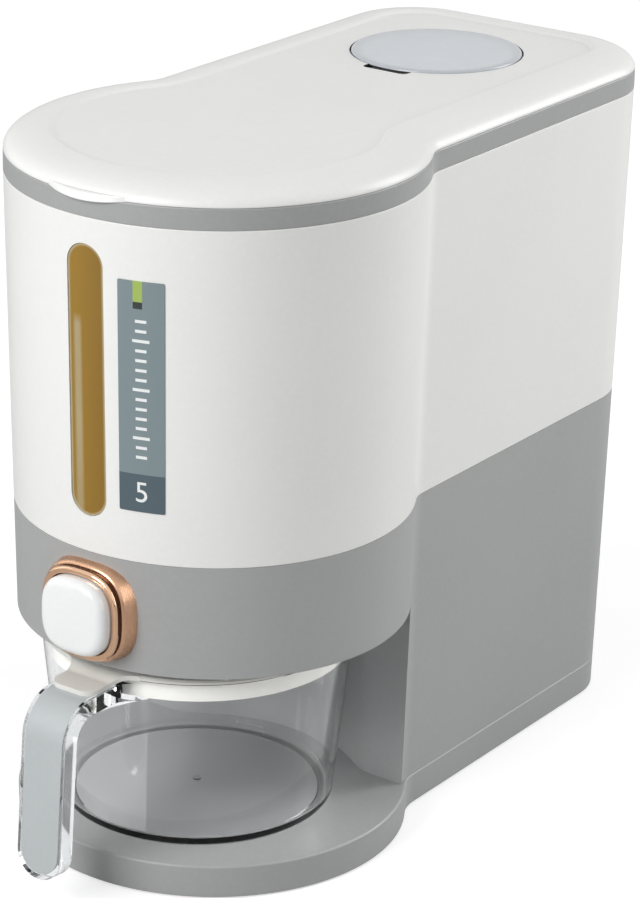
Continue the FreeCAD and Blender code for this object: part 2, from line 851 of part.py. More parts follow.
def make_window_lens():
    """Amber window: a plug in the slot and a flange behind the wall."""
    seat = wall + window_seal_thickness
    plug = ring(joint_height, rim_bottom, lens_sink, seat + lens_flange_thickness)
    plug = plug.common(stadium(-slip, (-front_radius, 0)))
    flange = ring(joint_height, rim_bottom, seat, seat + lens_flange_thickness)
    flange = flange.common(stadium(lens_flange, (-front_radius, 0)))
    return joined([plug, flange])


def make_window_seal():
    """Thin seal between the wall and the window flange."""
    band = ring(joint_height, rim_bottom, wall, wall + window_seal_thickness)
    band = band.common(stadium(lens_flange, (-front_radius, 0)))
    return band.cut(stadium(0, (-front_radius, 0)))


def front_degrees(distance):
    """Direction of a point at a distance from the middle along the round front."""
    return math.degrees(distance / front_radius) - 90


def make_label_plate():
    """Thin plate on the round front, beside the window."""
    skin = ring(joint_height, rim_bottom, -label_thickness, 0)
    start = front_degrees(label_start)
    return skin.common(wedge(start, front_degrees(label_start + label_width), label_low, label_high))


def make_rim_band():
    """Grey rim on the container, with a tongue inside its wall."""
    band = ring(rim_bottom, rim_top, 0, band_wall)
    tongue = ring(rim_bottom - tongue_depth, rim_bottom, wall + slip, wall + slip + tongue_wall)
    return joined([band, tongue])


# ---- lid ----------------------------------------------------------------------------------
def make_lid():
    """Lid: rounded crown, sunk panel, plug skirt, seal groove and desiccant well."""
    plug_bottom = rim_top - plug_depth
    body = lid_crown().fuse(tapered(plug_bottom, rim_top, lid_plug_inset()))
    body = body.cut(lid_hollow(plug_bottom))
    groove_low = seal_low - seal_groove_gap
    groove_high = seal_high + seal_groove_gap
    groove_floor = lid_plug_inset() + seal_depth
    body = body.cut(ring(groove_low, groove_high, lid_plug_inset() - cut_over, groove_floor))
    return with_cap_seat(body.fuse(finger_lip())).removeSplitter()


def lid_plug_inset():
    """Inset of the plug's outer face."""
    return band_wall + plug_gap


def lid_crown():
    """Quarter-ellipse edge all round, with the panel sunk between its crests."""
    crest = rim_top + crown_rise
    sections = []
    for step in range(crown_sections + 1):
        angle = math.pi / 2 * step / crown_sections
        inset = crown_width * (1 - math.cos(angle))
        sections.append(outline(rim_top + crown_rise * math.sin(angle), inset))
    floor = outline(panel_top, crown_width + panel_sink)
    mouth = outline(crest + cut_over, crown_width - cut_over)
    return Part.makeLoft(sections, True, False).cut(Part.makeLoft([floor, mouth], True, True))


def lid_hollow(plug_bottom):
    """Room inside the plug and under the panel."""
    inset = lid_plug_inset() + plug_wall
    shoulder = rim_top + lid_cavity_height
    straight = Part.makeLoft([outline(plug_bottom, inset), outline(shoulder, inset)], True, True)
    ceiling = outline(panel_top - lid_skin, crown_width)
    return straight.fuse(Part.makeLoft([outline(shoulder, inset), ceiling], True, True))


def finger_lip():
    """Small lip over the rim at the front of the lid."""
    lip = Part.makeCone(
        front_radius + lip_reach, front_radius + lip_reach / 2, lip_high - lip_low, vec(0, 0, lip_low)
    )
    lip = lip.cut(post(front_radius + slip, 0, 0, lip_low, rim_top))
    lip = lip.cut(post(front_radius - lip_reach, 0, 0, rim_top, lip_high))
    sides = front_degrees(-lip_half_width), front_degrees(lip_half_width)
    return lip.common(wedge(sides[0], sides[1], lip_low, lip_high))


def notch_box(margin, low, high):
    """Block of the finger notch's plan, widened by margin to the sides and forwards."""
    edge = cap_y - cap_radius
    half = notch_half_width + margin
    return box((-half, half), (edge - notch_depth - margin, edge + notch_under), (low, high))


def with_cap_seat(lid):
    """Add the bosses under the cap and cut the cap's seat and the finger notch."""
    top = rim_top + crown_rise
    flange_radius = basket_radius + basket_flange
    flange_bottom = cap_seat_height - basket_flange_thickness
    lid_boss_bottom = flange_bottom - lid_boss_depth
    boss_top = panel_top - lid_skin / 2
    lid = lid.fuse(post(flange_radius + lid_boss_wall, 0, cap_y, lid_boss_bottom, boss_top))
    lid = lid.fuse(notch_box(lid_skin, panel_top - notch_drop - lid_skin, boss_top))
    lid = lid.cut(post(basket_radius + slip, 0, cap_y, lid_boss_bottom, top))
    lid = lid.cut(post(flange_radius + slip, 0, cap_y, flange_bottom, top))
    lid = lid.cut(post(cap_radius + 2 * free_gap, 0, cap_y, cap_seat_height, top))
    notch = notch_box(0, panel_top - notch_drop, top)
    upright = [edge for edge in notch.Edges if edge.BoundBox.ZLength > notch_drop]
    return lid.cut(notch.makeFillet(notch_round, upright))


def make_lid_seal():
    """Soft ring in the groove of the lid's plug."""
    return ring(seal_low, seal_high, lid_plug_inset() - seal_squeeze, lid_plug_inset() + seal_depth)


def make_desiccant_basket():
    """Slotted cup that hangs in the lid."""
    floor = cap_seat_height - basket_depth
    flange_bottom = cap_seat_height - basket_flange_thickness
    inner = basket_radius - basket_wall
    body = turned(
        [
            (0, floor),
            (basket_radius - basket_chamfer, floor),
            (basket_radius, floor + basket_chamfer),
            (basket_radius, flange_bottom),
            (basket_radius + basket_flange, flange_bottom),
            (basket_radius + basket_flange, cap_seat_height),
            (inner, cap_seat_height),
            (inner, floor + basket_wall),
            (0, floor + basket_wall),
        ],
        cap_y,
    )
    half = basket_slot_width / 2
    slot_to = basket_radius - basket_slot_margin
    for step in range(basket_slots):
        slot = box((basket_slot_from, slot_to), (cap_y - half, cap_y + half),
                   (floor - cut_over, floor + basket_wall + cut_over))
        slot.rotate(vec(0, cap_y, 0), vec(0, 0, 1), 360.0 * step / basket_slots)
        body = body.cut(slot)
    return body


def cap_plug_radius():
    """Outer radius of the ring under the cap."""
    return basket_radius - basket_wall - free_gap - cap_seal_thickness


def make_moisture_cap():
    """Round cap over the basket, with a ring that drops inside it."""
    disc = rounded_top(post(cap_radius, 0, cap_y, cap_seat_height, cap_top), cap_edge_round)
    plug_bottom = cap_seat_height - cap_plug_depth
    plug = post(cap_plug_radius(), 0, cap_y, plug_bottom, cap_seat_height)
    hollow = post(cap_plug_radius() - cap_wall, 0, cap_y, plug_bottom, cap_seat_height)
    return joined([disc, plug.cut(hollow)])


def make_cap_seal():
    """Soft ring round the cap's plug."""
    low = cap_seat_height - cap_seal_drop - cap_seal_height
    high = low + cap_seal_height
    outer = post(cap_plug_radius() + cap_seal_thickness, 0, cap_y, low, high)
    return outer.cut(post(cap_plug_radius(), 0, cap_y, low, high))


# ---- cup ----------------------------------------------------------------------------------
def cup_slope():
    """Outward lean of the cup wall, mm per mm going up."""
    return (cup_rim_radius - cup_base_radius) / (cup_rim_height - tray_top)


def cup_radius(height):
    """Outer radius of the cup at a height."""
    return cup_base_radius + cup_slope() * (height - tray_top)


def cup_outer():
    """Solid inside the cup's outer surface."""
    base = [(0, tray_top), (cup_base_radius, tray_top)]
    mouth = [(cup_rim_radius, cup_rim_height), (0, cup_rim_height)]
    return turned(base + mouth, cup_centre_y)


def make_measuring_cup():
    """Clear tapered cup with a thick floor and the moulding mark in its middle."""
    floor = tray_top + cup_floor
    mouth = cup_rim_radius - cup_wall
    room = turned(
        [
            (0, floor),
            (cup_radius(floor) - cup_wall, floor),
            (mouth, cup_rim_height),
            (mouth, cup_rim_height + cut_over),
            (0, cup_rim_height + cut_over),
        ],
        cup_centre_y,
    )
    shell = rounded_bottom(cup_outer(), cup_base_round).cut(rounded_bottom(room, cup_base_round))
    mark = post(gate_mark_radius, 0, cup_centre_y, floor, floor + gate_mark_height)
    return joined([shell, rounded_top(mark, gate_mark_round)])


def grip_strip(depth, start_y, half):
    """Bent strip with the grip's outer face: forwards from start_y, round the bend and down."""
    bend_z = handle_top - handle_bend_radius
    outer = handle_bend_radius
    inner = outer - depth
    lean = math.atan(handle_lean)
    down = vec(0, -math.sin(lean), -math.cos(lean)) * handle_top

    def on_bend(radius, angle):
        return vec(-half, handle_bend_y - radius * math.cos(angle), bend_z + radius * math.sin(angle))

    top = math.pi / 2
    middle = (top + lean) / 2
    start = vec(-half, start_y, bend_z)
    edges = [
        Part.makeLine(start + vec(0, 0, outer), on_bend(outer, top)),
        Part.Arc(on_bend(outer, top), on_bend(outer, middle), on_bend(outer, lean)).toShape(),
        Part.makeLine(on_bend(outer, lean), on_bend(outer, lean) + down),
        Part.makeLine(on_bend(outer, lean) + down, on_bend(inner, lean) + down),
        Part.makeLine(on_bend(inner, lean) + down, on_bend(inner, lean)),
        Part.Arc(on_bend(inner, lean), on_bend(inner, middle), on_bend(inner, top)).toShape(),
        Part.makeLine(on_bend(inner, top), start + vec(0, 0, inner)),
        Part.makeLine(start + vec(0, 0, inner), start + vec(0, 0, outer)),
    ]
    return Part.Face(Part.Wire(edges)).extrude(vec(2 * half, 0, 0))


def grip_front(half, bottom):
    """Front view of the grip as a bar along Y: straight sides and a round lower end."""
    start = -2 * front_radius
    low = bottom + half
    high = handle_top + cut_over
    edges = [
        Part.Arc(vec(half, start, low), vec(0, start, bottom), vec(-half, start, low)).toShape(),
        Part.makeLine(vec(-half, start, low), vec(-half, start, high)),
        Part.makeLine(vec(-half, start, high), vec(half, start, high)),
        Part.makeLine(vec(half, start, high), vec(half, start, low)),
    ]
    return Part.Face(Part.Wire(edges)).extrude(vec(0, -start, 0))


def make_handle_insert():
    """Coloured strip set flush into the grip's outer face."""
    strip = grip_strip(insert_thickness, insert_start_y, insert_half_width)
    return strip.common(grip_front(insert_half_width, handle_bottom + insert_bottom_margin))


def make_cup_handle():
    """Clear bent grip that widens where it meets the cup wall."""
    grip = grip_strip(handle_thickness, cup_centre_y, handle_half_width)
    grip = grip.common(grip_front(handle_half_width, handle_bottom))
    underside = handle_top - handle_thickness
    root = tongue_plan(handle_half_width, cup_rim_radius, -handle_bend_y, underside, handle_top)
    return joined([grip, root]).cut(cup_outer()).cut(make_handle_insert())


def make_cup_collar():
    """Ring on the cup rim with a skirt inside it and a thumb tab over the handle."""
    top = cup_rim_height + collar_thickness
    outer = cup_rim_radius + collar_overhang
    skirt_low = cup_rim_height - skirt_depth
    skirt_top_radius = cup_rim_radius - cup_wall - skirt_gap
    skirt_low_radius = cup_radius(skirt_low) - cup_wall - skirt_gap
    inner = outer - collar_width
    ring_body = turned(
        [
            (inner, cup_rim_height),
            (skirt_top_radius - skirt_thickness, cup_rim_height),
            (skirt_low_radius - skirt_thickness, skirt_low),
            (skirt_low_radius, skirt_low),
            (skirt_top_radius, cup_rim_height),
            (outer, cup_rim_height),
            (outer, top - collar_edge),
            (outer - collar_edge, top),
            (inner, top),
        ],
        cup_centre_y,
    )
    return joined([ring_body, thumb_tab(top)])


def thumb_tab(top):
    """Rounded tongue that leaves the collar and drops onto the handle."""
    low = handle_top
    upper = low + tab_thickness
    profile = side_prism(
        [
            (cup_centre_y, top),
            (-tab_slope_start, top),
            (-tab_slope_end, upper),
            (-tab_reach, upper),
            (-tab_reach, low),
            (-tab_slope_end, low),
            (-tab_slope_start, cup_rim_height),
            (cup_centre_y, cup_rim_height),
        ],
        front_radius,
    )
    plan = tongue_plan(tab_half_width, cup_rim_radius + collar_overhang, tab_reach, low, top)
    return profile.common(plan).cut(post(cup_rim_radius - cup_wall, 0, cup_centre_y, low, top))


def tongue_plan(half, circle, reach, low, high):
    """Level tongue that flares out of a circle round the cup and ends in a half round."""
    flare_x = half + tab_flare
    flare_y = cup_centre_y - math.sqrt((circle + tab_flare) ** 2 - flare_x ** 2)
    meet = math.atan2(cup_centre_y - flare_y, flare_x)
    tip_y = half - reach
    edges = [
        Part.makeLine(vec(0, cup_centre_y, low), polar(0, cup_centre_y, circle, -meet, low)),
        arc(flare_x, flare_y, tab_flare, math.pi - meet, math.pi, low),
        Part.makeLine(vec(half, flare_y, low), vec(half, tip_y, low)),
        arc(0, tip_y, half, 0, -math.pi, low),
        Part.makeLine(vec(-half, tip_y, low), vec(-half, flare_y, low)),
        arc(-flare_x, flare_y, tab_flare, 0, meet, low),
        Part.makeLine(polar(0, cup_centre_y, circle, meet - math.pi, low), vec(0, cup_centre_y, low)),
    ]
    return Part.Face(Part.Wire(edges)).extrude(vec(0, 0, high - low))


def middle_y():
    """Middle of the whole length, from the lowest front of the grip to the rear face."""
    bend_z = handle_top - handle_bend_radius
    lean = math.atan(handle_lean)
    front_at_bend = handle_bend_y - handle_bend_radius / math.cos(lean)
    front = front_at_bend - handle_lean * (bend_z - handle_bottom)
    return (front + rear_reach) / 2


makers = {
    "base_tray": make_base_tray,
    "bottom_plate": make_bottom_plate,
    "rubber_feet": make_rubber_feet,
    "base_screws": make_base_screws,
    "column_screws": make_column_screws,
    "lower_body": make_lower_body,
    "head_floor": make_head_floor,
    "head_screws": make_head_screws,
    "hopper": make_hopper,
    "gate_frame": make_gate_frame,
    "frame_screws": make_frame_screws,
    "gate_pin": make_gate_pin,
    "gate_flap": make_gate_flap,
    "gate_spring": make_gate_spring,
    "button_bezel": make_button_bezel,
    "button_guide": make_button_guide,
    "button_cap": make_button_cap,
    "push_rod": make_push_rod,
    "rod_clip": make_rod_clip,
    "return_spring": make_return_spring,
    "upper_container": make_upper_container,
    "window_lens": make_window_lens,
    "window_seal": make_window_seal,
    "label_plate": make_label_plate,
    "rim_band": make_rim_band,
    "lid": make_lid,
    "lid_seal": make_lid_seal,
    "desiccant_basket": make_desiccant_basket,
    "moisture_cap": make_moisture_cap,
    "cap_seal": make_cap_seal,
    "measuring_cup": make_measuring_cup,
    "cup_handle": make_cup_handle,
    "handle_insert": make_handle_insert,
    "cup_collar": make_cup_collar,
}

os.makedirs("parts", exist_ok=True)
for node, maker in makers.items():
    shape = maker()
    shape.translate(vec(0, -middle_y(), 0))
    shape.exportStep(os.path.join("parts", node + ".step"))
    print(node, "solids", len(shape.Solids), "valid", shape.isValid(), "volume", round(shape.Volume, 1))
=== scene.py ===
"""Countertop rice dispenser with a pull-out measuring cup: surfaces, finishes, light and camera."""
import logging
import math
from dataclasses import dataclass, field
from enum import Enum
from functools import cached_property
from typing import Callable, Iterable, Sequence

import bmesh
import bpy
from mathutils import Matrix, Vector


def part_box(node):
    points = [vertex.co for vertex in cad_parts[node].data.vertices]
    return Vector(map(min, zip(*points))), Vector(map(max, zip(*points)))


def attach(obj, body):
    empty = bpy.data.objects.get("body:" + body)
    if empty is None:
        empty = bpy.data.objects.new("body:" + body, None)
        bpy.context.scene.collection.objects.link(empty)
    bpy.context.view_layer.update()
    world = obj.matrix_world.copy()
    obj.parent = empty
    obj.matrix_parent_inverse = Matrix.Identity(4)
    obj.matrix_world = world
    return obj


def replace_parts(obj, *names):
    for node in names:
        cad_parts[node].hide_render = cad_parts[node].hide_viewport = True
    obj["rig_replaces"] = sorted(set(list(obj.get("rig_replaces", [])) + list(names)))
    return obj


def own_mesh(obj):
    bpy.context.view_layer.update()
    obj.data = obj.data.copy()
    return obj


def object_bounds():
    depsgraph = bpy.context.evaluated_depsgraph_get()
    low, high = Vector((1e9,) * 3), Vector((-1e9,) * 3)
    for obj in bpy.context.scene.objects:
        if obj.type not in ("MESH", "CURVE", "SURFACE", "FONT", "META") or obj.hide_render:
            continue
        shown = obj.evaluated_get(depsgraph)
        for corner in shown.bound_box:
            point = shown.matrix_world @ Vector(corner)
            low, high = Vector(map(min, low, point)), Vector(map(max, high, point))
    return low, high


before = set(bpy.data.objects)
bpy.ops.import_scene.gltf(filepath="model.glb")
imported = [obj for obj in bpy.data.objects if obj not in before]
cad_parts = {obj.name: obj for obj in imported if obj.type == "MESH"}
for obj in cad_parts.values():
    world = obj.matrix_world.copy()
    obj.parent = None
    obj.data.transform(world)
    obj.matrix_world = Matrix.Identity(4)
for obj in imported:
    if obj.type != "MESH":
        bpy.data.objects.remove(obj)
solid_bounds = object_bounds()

log = logging.getLogger("rice_dispenser")
MM = 0.001
UP = Vector((0.0, 0.0, 1.0))
SIDEWAYS = Vector((1.0, 0.0, 0.0))
BACKWARDS = Vector((0.0, 1.0, 0.0))
Edges = list[bmesh.types.BMEdge]
Mesh = bmesh.types.BMesh
Socket = bpy.types.NodeSocket
Thing = bpy.types.Object
Triple = tuple[float, float, float]
Pairs = Sequence[tuple[float, float]]
Rounds = Sequence[tuple[int, float]]
Test = Callable[[Vector], bool]
SECOND_FINISH = 1
HAIR, NEAR, SLACK = 0.02 * MM, 0.05 * MM, 0.1 * MM
WHITE = ("white_body", "warm_white_plastic")
GREY = ("grey_body", "mid_grey_plastic")
CLEAR = ("clear", "clear_plastic")
INK = ("label", "label_white")
# Near-black finish for painted shadow, put in gaps and recesses where only shade falls.
PAINTED_SHADOW = "painted_shadow_plastic"


def agree(first: float, second: float, within: float = HAIR) -> bool:
    """Tell whether two lengths agree."""
    return abs(first - second) < within


def away_from(axis_y: float, spot: Vector) -> float:
    """Distance of a point from an upright axis on the middle plane."""
    return math.hypot(spot.x, spot.y - axis_y)


def shown(name: str, data: bpy.types.ID) -> Thing:
    """Put data in the scene as an object.

    Args:
        name: Name of the object.
        data: Mesh, lamp, camera or curve.

    Returns:
        The new object.
    """
    thing = bpy.data.objects.new(name, data)
    bpy.context.scene.collection.objects.link(thing)
    return thing


class Body(Enum):
    """Bodies of the frame that new pieces ride on."""

    HOUSING = "housing"
    BUTTON = "button"
    LID = "lid"
    CAP = "cap"
    CUP = "cup"


class Join(Enum):
    """Ways to combine two closed meshes."""

    ADD = "UNION"
    CUT = "DIFFERENCE"
    KEEP = "INTERSECT"


# ---- finishes -----------------------------------------------------------------------------
class Bench:
    """Node tree under construction."""

    def __init__(self, tree: bpy.types.NodeTree) -> None:
        """Empty a tree and start on it.

        Args:
            tree: Tree to build in.
        """
        tree.nodes.clear()
        self.tree = tree
        self._place: Socket | None = None

    def node(self, kind: str, **values: object) -> bpy.types.Node:
        """Add a node and set its properties or input sockets by name.

        Args:
            kind: Node type without the ShaderNode prefix.
            **values: Property or input values, spaces written as underscores.

        Returns:
            The new node.
        """
        made = self.tree.nodes.new("ShaderNode" + kind)
        for key, value in values.items():
            if hasattr(made, key):
                setattr(made, key, value)
            else:
                self.feed(value, made.inputs[key.replace("_", " ")])
        return made

    def feed(self, value: object, socket: Socket) -> None:
        """Link a socket, or set it when the value is plain.

        Args:
            value: Socket or plain value.
            socket: Input to feed.
        """
        if isinstance(value, Socket):
            self.tree.links.new(value, socket)
        else:
            socket.default_value = value

    def place(self, stretch: Triple = (1.0, 1.0, 1.0)) -> Socket:
        """Object coordinates, stretched.

        Args:
            stretch: Scale along each axis.

        Returns:
            The vector socket.
        """
        if self._place is None:
            self._place = self.node("TexCoord").outputs["Object"]
        if stretch == (1.0, 1.0, 1.0):
            return self._place
        return self.node("Mapping", Vector=self._place, Scale=stretch).outputs[0]

    def noise(self, per_metre: float, detail: float = 2.0, where: Socket | None = None) -> Socket:
        """Soft random value.

        Args:
            per_metre: Number of cells in a metre.
            detail: Octaves.
            where: Coordinates, or the plain object ones.

        Returns:
            The value socket.
        """
        spot = where or self.place()
        return self.node("TexNoise", Vector=spot, Scale=per_metre, Detail=detail).outputs[0]

    def spread(
        self, value: Socket, low: float, high: float, start: float = 0.3, end: float = 0.7
    ) -> Socket:
        """Map a value from start..end to low..high.

        Args:
            value: Socket to map.
            low: Result at start.
            high: Result at end.
            start: Lower limit of the value.
            end: Upper limit of the value.

        Returns:
            The mapped socket.
        """
        return self.node(
            "MapRange", Value=value, From_Min=start, From_Max=end, To_Min=low, To_Max=high
        ).outputs[0]

    def blend(self, share: Socket, first: object, second: object) -> Socket:
        """Mix two colours.

        Args:
            share: Share of the second colour.
            first: Colour, or socket, at a share of 0.
            second: Colour, or socket, at a share of 1.

        Returns:
            The colour socket.
        """
        mix = self.node("Mix", data_type="RGBA")
        for value, place in ((share, "Factor"), (first, 6), (second, 7)):
            self.feed(value, mix.inputs[place])
        return mix.outputs[2]

    def fed(self, node: bpy.types.Node, *values: object) -> Socket:
        """Feed a node's inputs in their order and give its first output.

        Args:
            node: Node to feed.
            *values: Sockets or plain values.

        Returns:
            The node's first output.
        """
        for value, socket in zip(values, node.inputs):
            self.feed(value, socket)
        return node.outputs[0]

    def math(self, operation: str, *values: object) -> Socket:
        """One step of arithmetic on values or sockets."""
        return self.fed(self.node("Math", operation=operation), *values)

    def seen_by(self, *rays: str) -> Socket:
        """1 for rays of any of these kinds, else 0.

        Args:
            *rays: Kinds of ray.

        Returns:
            The value socket.
        """
        path = self.node("LightPath").outputs
        share = path[f"Is {rays[0]} Ray"]
        for ray in rays[1:]:
            share = self.math("MAXIMUM", share, path[f"Is {ray} Ray"])
        return share

    def shader_of(self, kind: str, **values: object) -> Socket:
        """Output of a new shader node."""
        return self.node(kind, **values).outputs[0]

    def either(self, share: Socket, first: Socket, second: Socket) -> Socket:
        """Mix two shaders."""
        return self.fed(self.node("MixShader"), share, first, second)

    def relief(self, height: Socket, depth: float, under: Socket | None = None) -> Socket:
        """Bump from a height.

        Args:
            height: Height socket, 0 to 1.
            depth: Depth in metres.
            under: Normal of a coarser relief below this one.

        Returns:
            The normal socket.
        """
        bump = self.node("Bump", Height=height, Distance=depth, Strength=1.0)
        if under is not None:
            self.feed(under, bump.inputs["Normal"])
        return bump.outputs[0]


class Surface(Bench):
    """Node tree of one finish, with its shader and output in place."""

    def __init__(self, name: str) -> None:
        """Start a new material.

        Args:
            name: Name of the material.
        """
        self.material = bpy.data.materials.new(name)
        self.material.use_nodes = True
        super().__init__(self.material.node_tree)
        self.shader = self.node("BsdfPrincipled")
        self.output = self.node("OutputMaterial")
        self.show(self.shader.outputs[0])

    def show(self, shader: Socket) -> None:
        """Make a shader the one that is seen."""
        self.feed(shader, self.output.inputs["Surface"])

    def let_light_through(self, share: float) -> None:
        """Let a share of the light straight through, so that it reaches what lies behind."""
        shadow = self.math("MULTIPLY", self.seen_by("Shadow"), share)
        self.show(self.either(shadow, self.shader.outputs[0], self.shader_of("BsdfTransparent")))

    def sockets(self, **values: object) -> None:
        """Set the shader's own sockets, spaces written as underscores."""
        for key, value in values.items():
            self.feed(value, self.shader.inputs[key.replace("_", " ")])


def tone(red: float, green: float, blue: float, share: float = 1.0) -> tuple[float, ...]:
    """Colour for a socket, scaled by a share."""
    return red * share, green * share, blue * share, 1.0


@dataclass(frozen=True)
class Moulding:
    """Opaque moulded plastic: fine texture, faint flow clouds and uneven sheen."""

    name: str
    colour: Triple
    roughness: float = 0.38
    grain: float = 2400.0
    grain_depth: float = 0.000012
    cloud: float = 0.03
    waviness: float = 0.00006
    coat: float = 0.0

    def make(self) -> bpy.types.Material:
        """Build the material.

        Returns:
            The material.
        """
        bench = Surface(self.name)
        clouds = bench.spread(bench.noise(11.0, 3.0), 0.0, 1.0)
        dust = bench.spread(bench.noise(420.0, 3.0), 0.0, 0.5, 0.45, 0.75)
        shade = bench.blend(clouds, tone(*self.colour), tone(*self.colour, 1.0 - self.cloud))
        paler = tuple(min(1.0, channel + 0.02) for channel in self.colour)
        shade = bench.blend(dust, shade, tone(*paler))
        sheen = bench.spread(bench.noise(34.0, 4.0), self.roughness - 0.035, self.roughness + 0.035)
        slow = bench.relief(bench.noise(24.0, 1.0), self.waviness)
        fine = bench.relief(bench.noise(self.grain, 2.0), self.grain_depth, slow)
        bench.sockets(Base_Color=shade, Roughness=sheen, Normal=fine, IOR=1.5)
        bench.sockets(Coat_Weight=self.coat, Coat_Roughness=0.08)
        return bench.material


@dataclass(frozen=True)
class Plating:
    """Bright metal film on plastic, with fine polishing lines."""

    name: str
    colour: Triple
    roughness: float = 0.16
    lines: Triple = (1.0, 1.0, 1.0)
    line_depth: float = 0.000004
    depth: float = 0.12

    def make(self) -> bpy.types.Material:
        """Build the material.

        Returns:
            The material.
        """
        bench = Surface(self.name)
        streaks = bench.noise(900.0, 4.0, bench.place(self.lines))
        haze = bench.spread(bench.noise(70.0, 3.0), 0.0, 1.0)
        shade = bench.blend(haze, tone(*self.colour), tone(*self.colour, 1.0 - self.depth))
        polish = bench.spread(streaks, self.roughness - 0.04, self.roughness + 0.06)
        lines = bench.relief(streaks, self.line_depth)
        bench.sockets(Base_Color=shade, Metallic=1.0, Roughness=polish, Normal=lines)
        return bench.material


@dataclass(frozen=True)
class ClearMoulding:
    """See-through plastic with faint flow waves and handling haze."""

    name: str
    colour: Triple
    transmission: float = 1.0
    roughness: float = 0.02
    haze: float = 0.03
    waviness: float = 0.00003
    ior: float = 1.5
    open_share: float = 0.0

    def make(self) -> bpy.types.Material:
        """Build the material.

        Returns:
            The material.
        """
        bench = Surface(self.name)
        clouds = bench.spread(bench.noise(26.0, 3.0), 0.0, 1.0)
        shade = bench.blend(clouds, tone(*self.colour), tone(*self.colour, 0.98))
        dull = self.roughness + self.haze
        haze = bench.spread(bench.noise(90.0, 4.0), self.roughness, dull, 0.45, 0.8)
        bench.sockets(
            Base_Color=shade,
            Roughness=haze,
            IOR=self.ior,
            Transmission_Weight=self.transmission,
            Normal=bench.relief(bench.noise(18.0, 1.0), self.waviness),
        )
        if self.open_share:
            bench.let_light_through(self.open_share)
        return bench.material


@dataclass(frozen=True)
class AmberWindow:
    """Tinted window with painted light: painted shade towards the right, a painted highlight streak
    down its left half and a paler rim painted as an edge highlight.
    """

    name: str = "amber_window"
    # deep is the window's own tint; the shaded tone is painted shade, pale a painted highlight and
    # rim a painted edge highlight.
    deep: Triple = (0.43, 0.245, 0.022)
    painted_shade_tone: Triple = (0.34, 0.185, 0.014)
    pale: Triple = (0.62, 0.53, 0.33)
    rim: Triple = (0.72, 0.64, 0.42)
    highlight_at: float = -0.0046
    highlight_half: float = 0.0026
    highlight_top: float = 0.262
    rim_highlight_from: float = 0.0079
    rim_highlight_to: float = 0.0089
    ends: tuple[float, float] = (0.1824, 0.2846)

    def make(self) -> bpy.types.Material:
        """Build the material.

        Returns:
            The material.
        """
        bench = Surface(self.name)
        split = bench.node("SeparateXYZ", Vector=bench.place())
        across, height = split.outputs[0], split.outputs[2]
        # Painted highlight: a paler streak down the left half, up to its top height.
        away = bench.math("ABSOLUTE", bench.math("SUBTRACT", across, self.highlight_at))
        highlight = bench.spread(away, 1.0, 0.0, 0.4 * self.highlight_half, self.highlight_half)
        below = bench.spread(height, 1.0, 0.0, self.highlight_top - 0.004, self.highlight_top + 0.001)
        clouds = bench.spread(bench.noise(60.0, 3.0, bench.place((1.0, 1.0, 0.25))), 0.45, 0.8)
        share = bench.math("MULTIPLY", bench.math("MULTIPLY", highlight, below), clouds)
        # Painted shade: darker towards the right.
        side = bench.spread(across, 0.0, 1.0, -0.006, 0.009)
        shade = bench.blend(side, tone(*self.deep), tone(*self.painted_shade_tone))
        shade = bench.blend(share, shade, tone(*self.pale))
        # Painted edge highlight: paler towards the rim.
        low, high = self.ends
        over, under = bench.math("SUBTRACT", height, high), bench.math("SUBTRACT", low, height)
        end = bench.math("MAXIMUM", bench.math("MAXIMUM", over, under), 0.0)
        squares = [bench.math("MULTIPLY", part, part) for part in (end, across)]
        reach = bench.math("SQRT", bench.math("ADD", *squares))
        rim_highlight = bench.spread(reach, 0.0, 0.75, self.rim_highlight_from, self.rim_highlight_to)
        shade = bench.blend(rim_highlight, shade, tone(*self.rim))
        polish = bench.spread(bench.noise(80.0, 3.0), 0.06, 0.14)
        bench.sockets(
            Base_Color=shade,
            Roughness=polish,
            IOR=1.5,
            Transmission_Weight=0.35,
            Normal=bench.relief(bench.noise(30.0, 1.0), 0.00003),
        )
        return bench.material


@dataclass(frozen=True)
class Film:
    """Printed film: flat ink with a fine screen and a soft sheen."""

    name: str
    colour: Triple
    roughness: float = 0.34

    def make(self) -> bpy.types.Material:
        """Build the material.

        Returns:
            The material.
        """
        bench = Surface(self.name)
        screen = bench.spread(bench.noise(2600.0, 1.0), 0.0, 0.35)
        shade = bench.blend(screen, tone(*self.colour), tone(*self.colour, 0.9))
        sheen = bench.spread(bench.noise(120.0, 3.0), self.roughness - 0.04, self.roughness + 0.05)
        skin_relief = bench.relief(bench.noise(900.0, 2.0), 0.000004)
        bench.sockets(Base_Color=shade, Roughness=sheen, Normal=skin_relief)
        return bench.material


@dataclass(frozen=True)
class Soft:
    """Rubber or silicone: matt, with a dusty bloom and a pebbled skin."""

    name: str
    colour: Triple
    roughness: float = 0.7

    def make(self) -> bpy.types.Material:
        """Build the material.

        Returns:
            The material.
        """
        bench = Surface(self.name)
        bloom = bench.spread(bench.noise(150.0, 4.0), 0.0, 0.5)
        paler = tuple(min(1.0, channel * 1.25 + 0.01) for channel in self.colour)
        shade = bench.blend(bloom, tone(*self.colour), tone(*paler))
        sheen = bench.spread(bench.noise(60.0, 2.0), self.roughness - 0.06, self.roughness + 0.06)
        pebbles = bench.relief(bench.noise(1300.0, 2.0), 0.00003)
        bench.sockets(Base_Color=shade, Roughness=sheen, Normal=pebbles)
        return bench.material


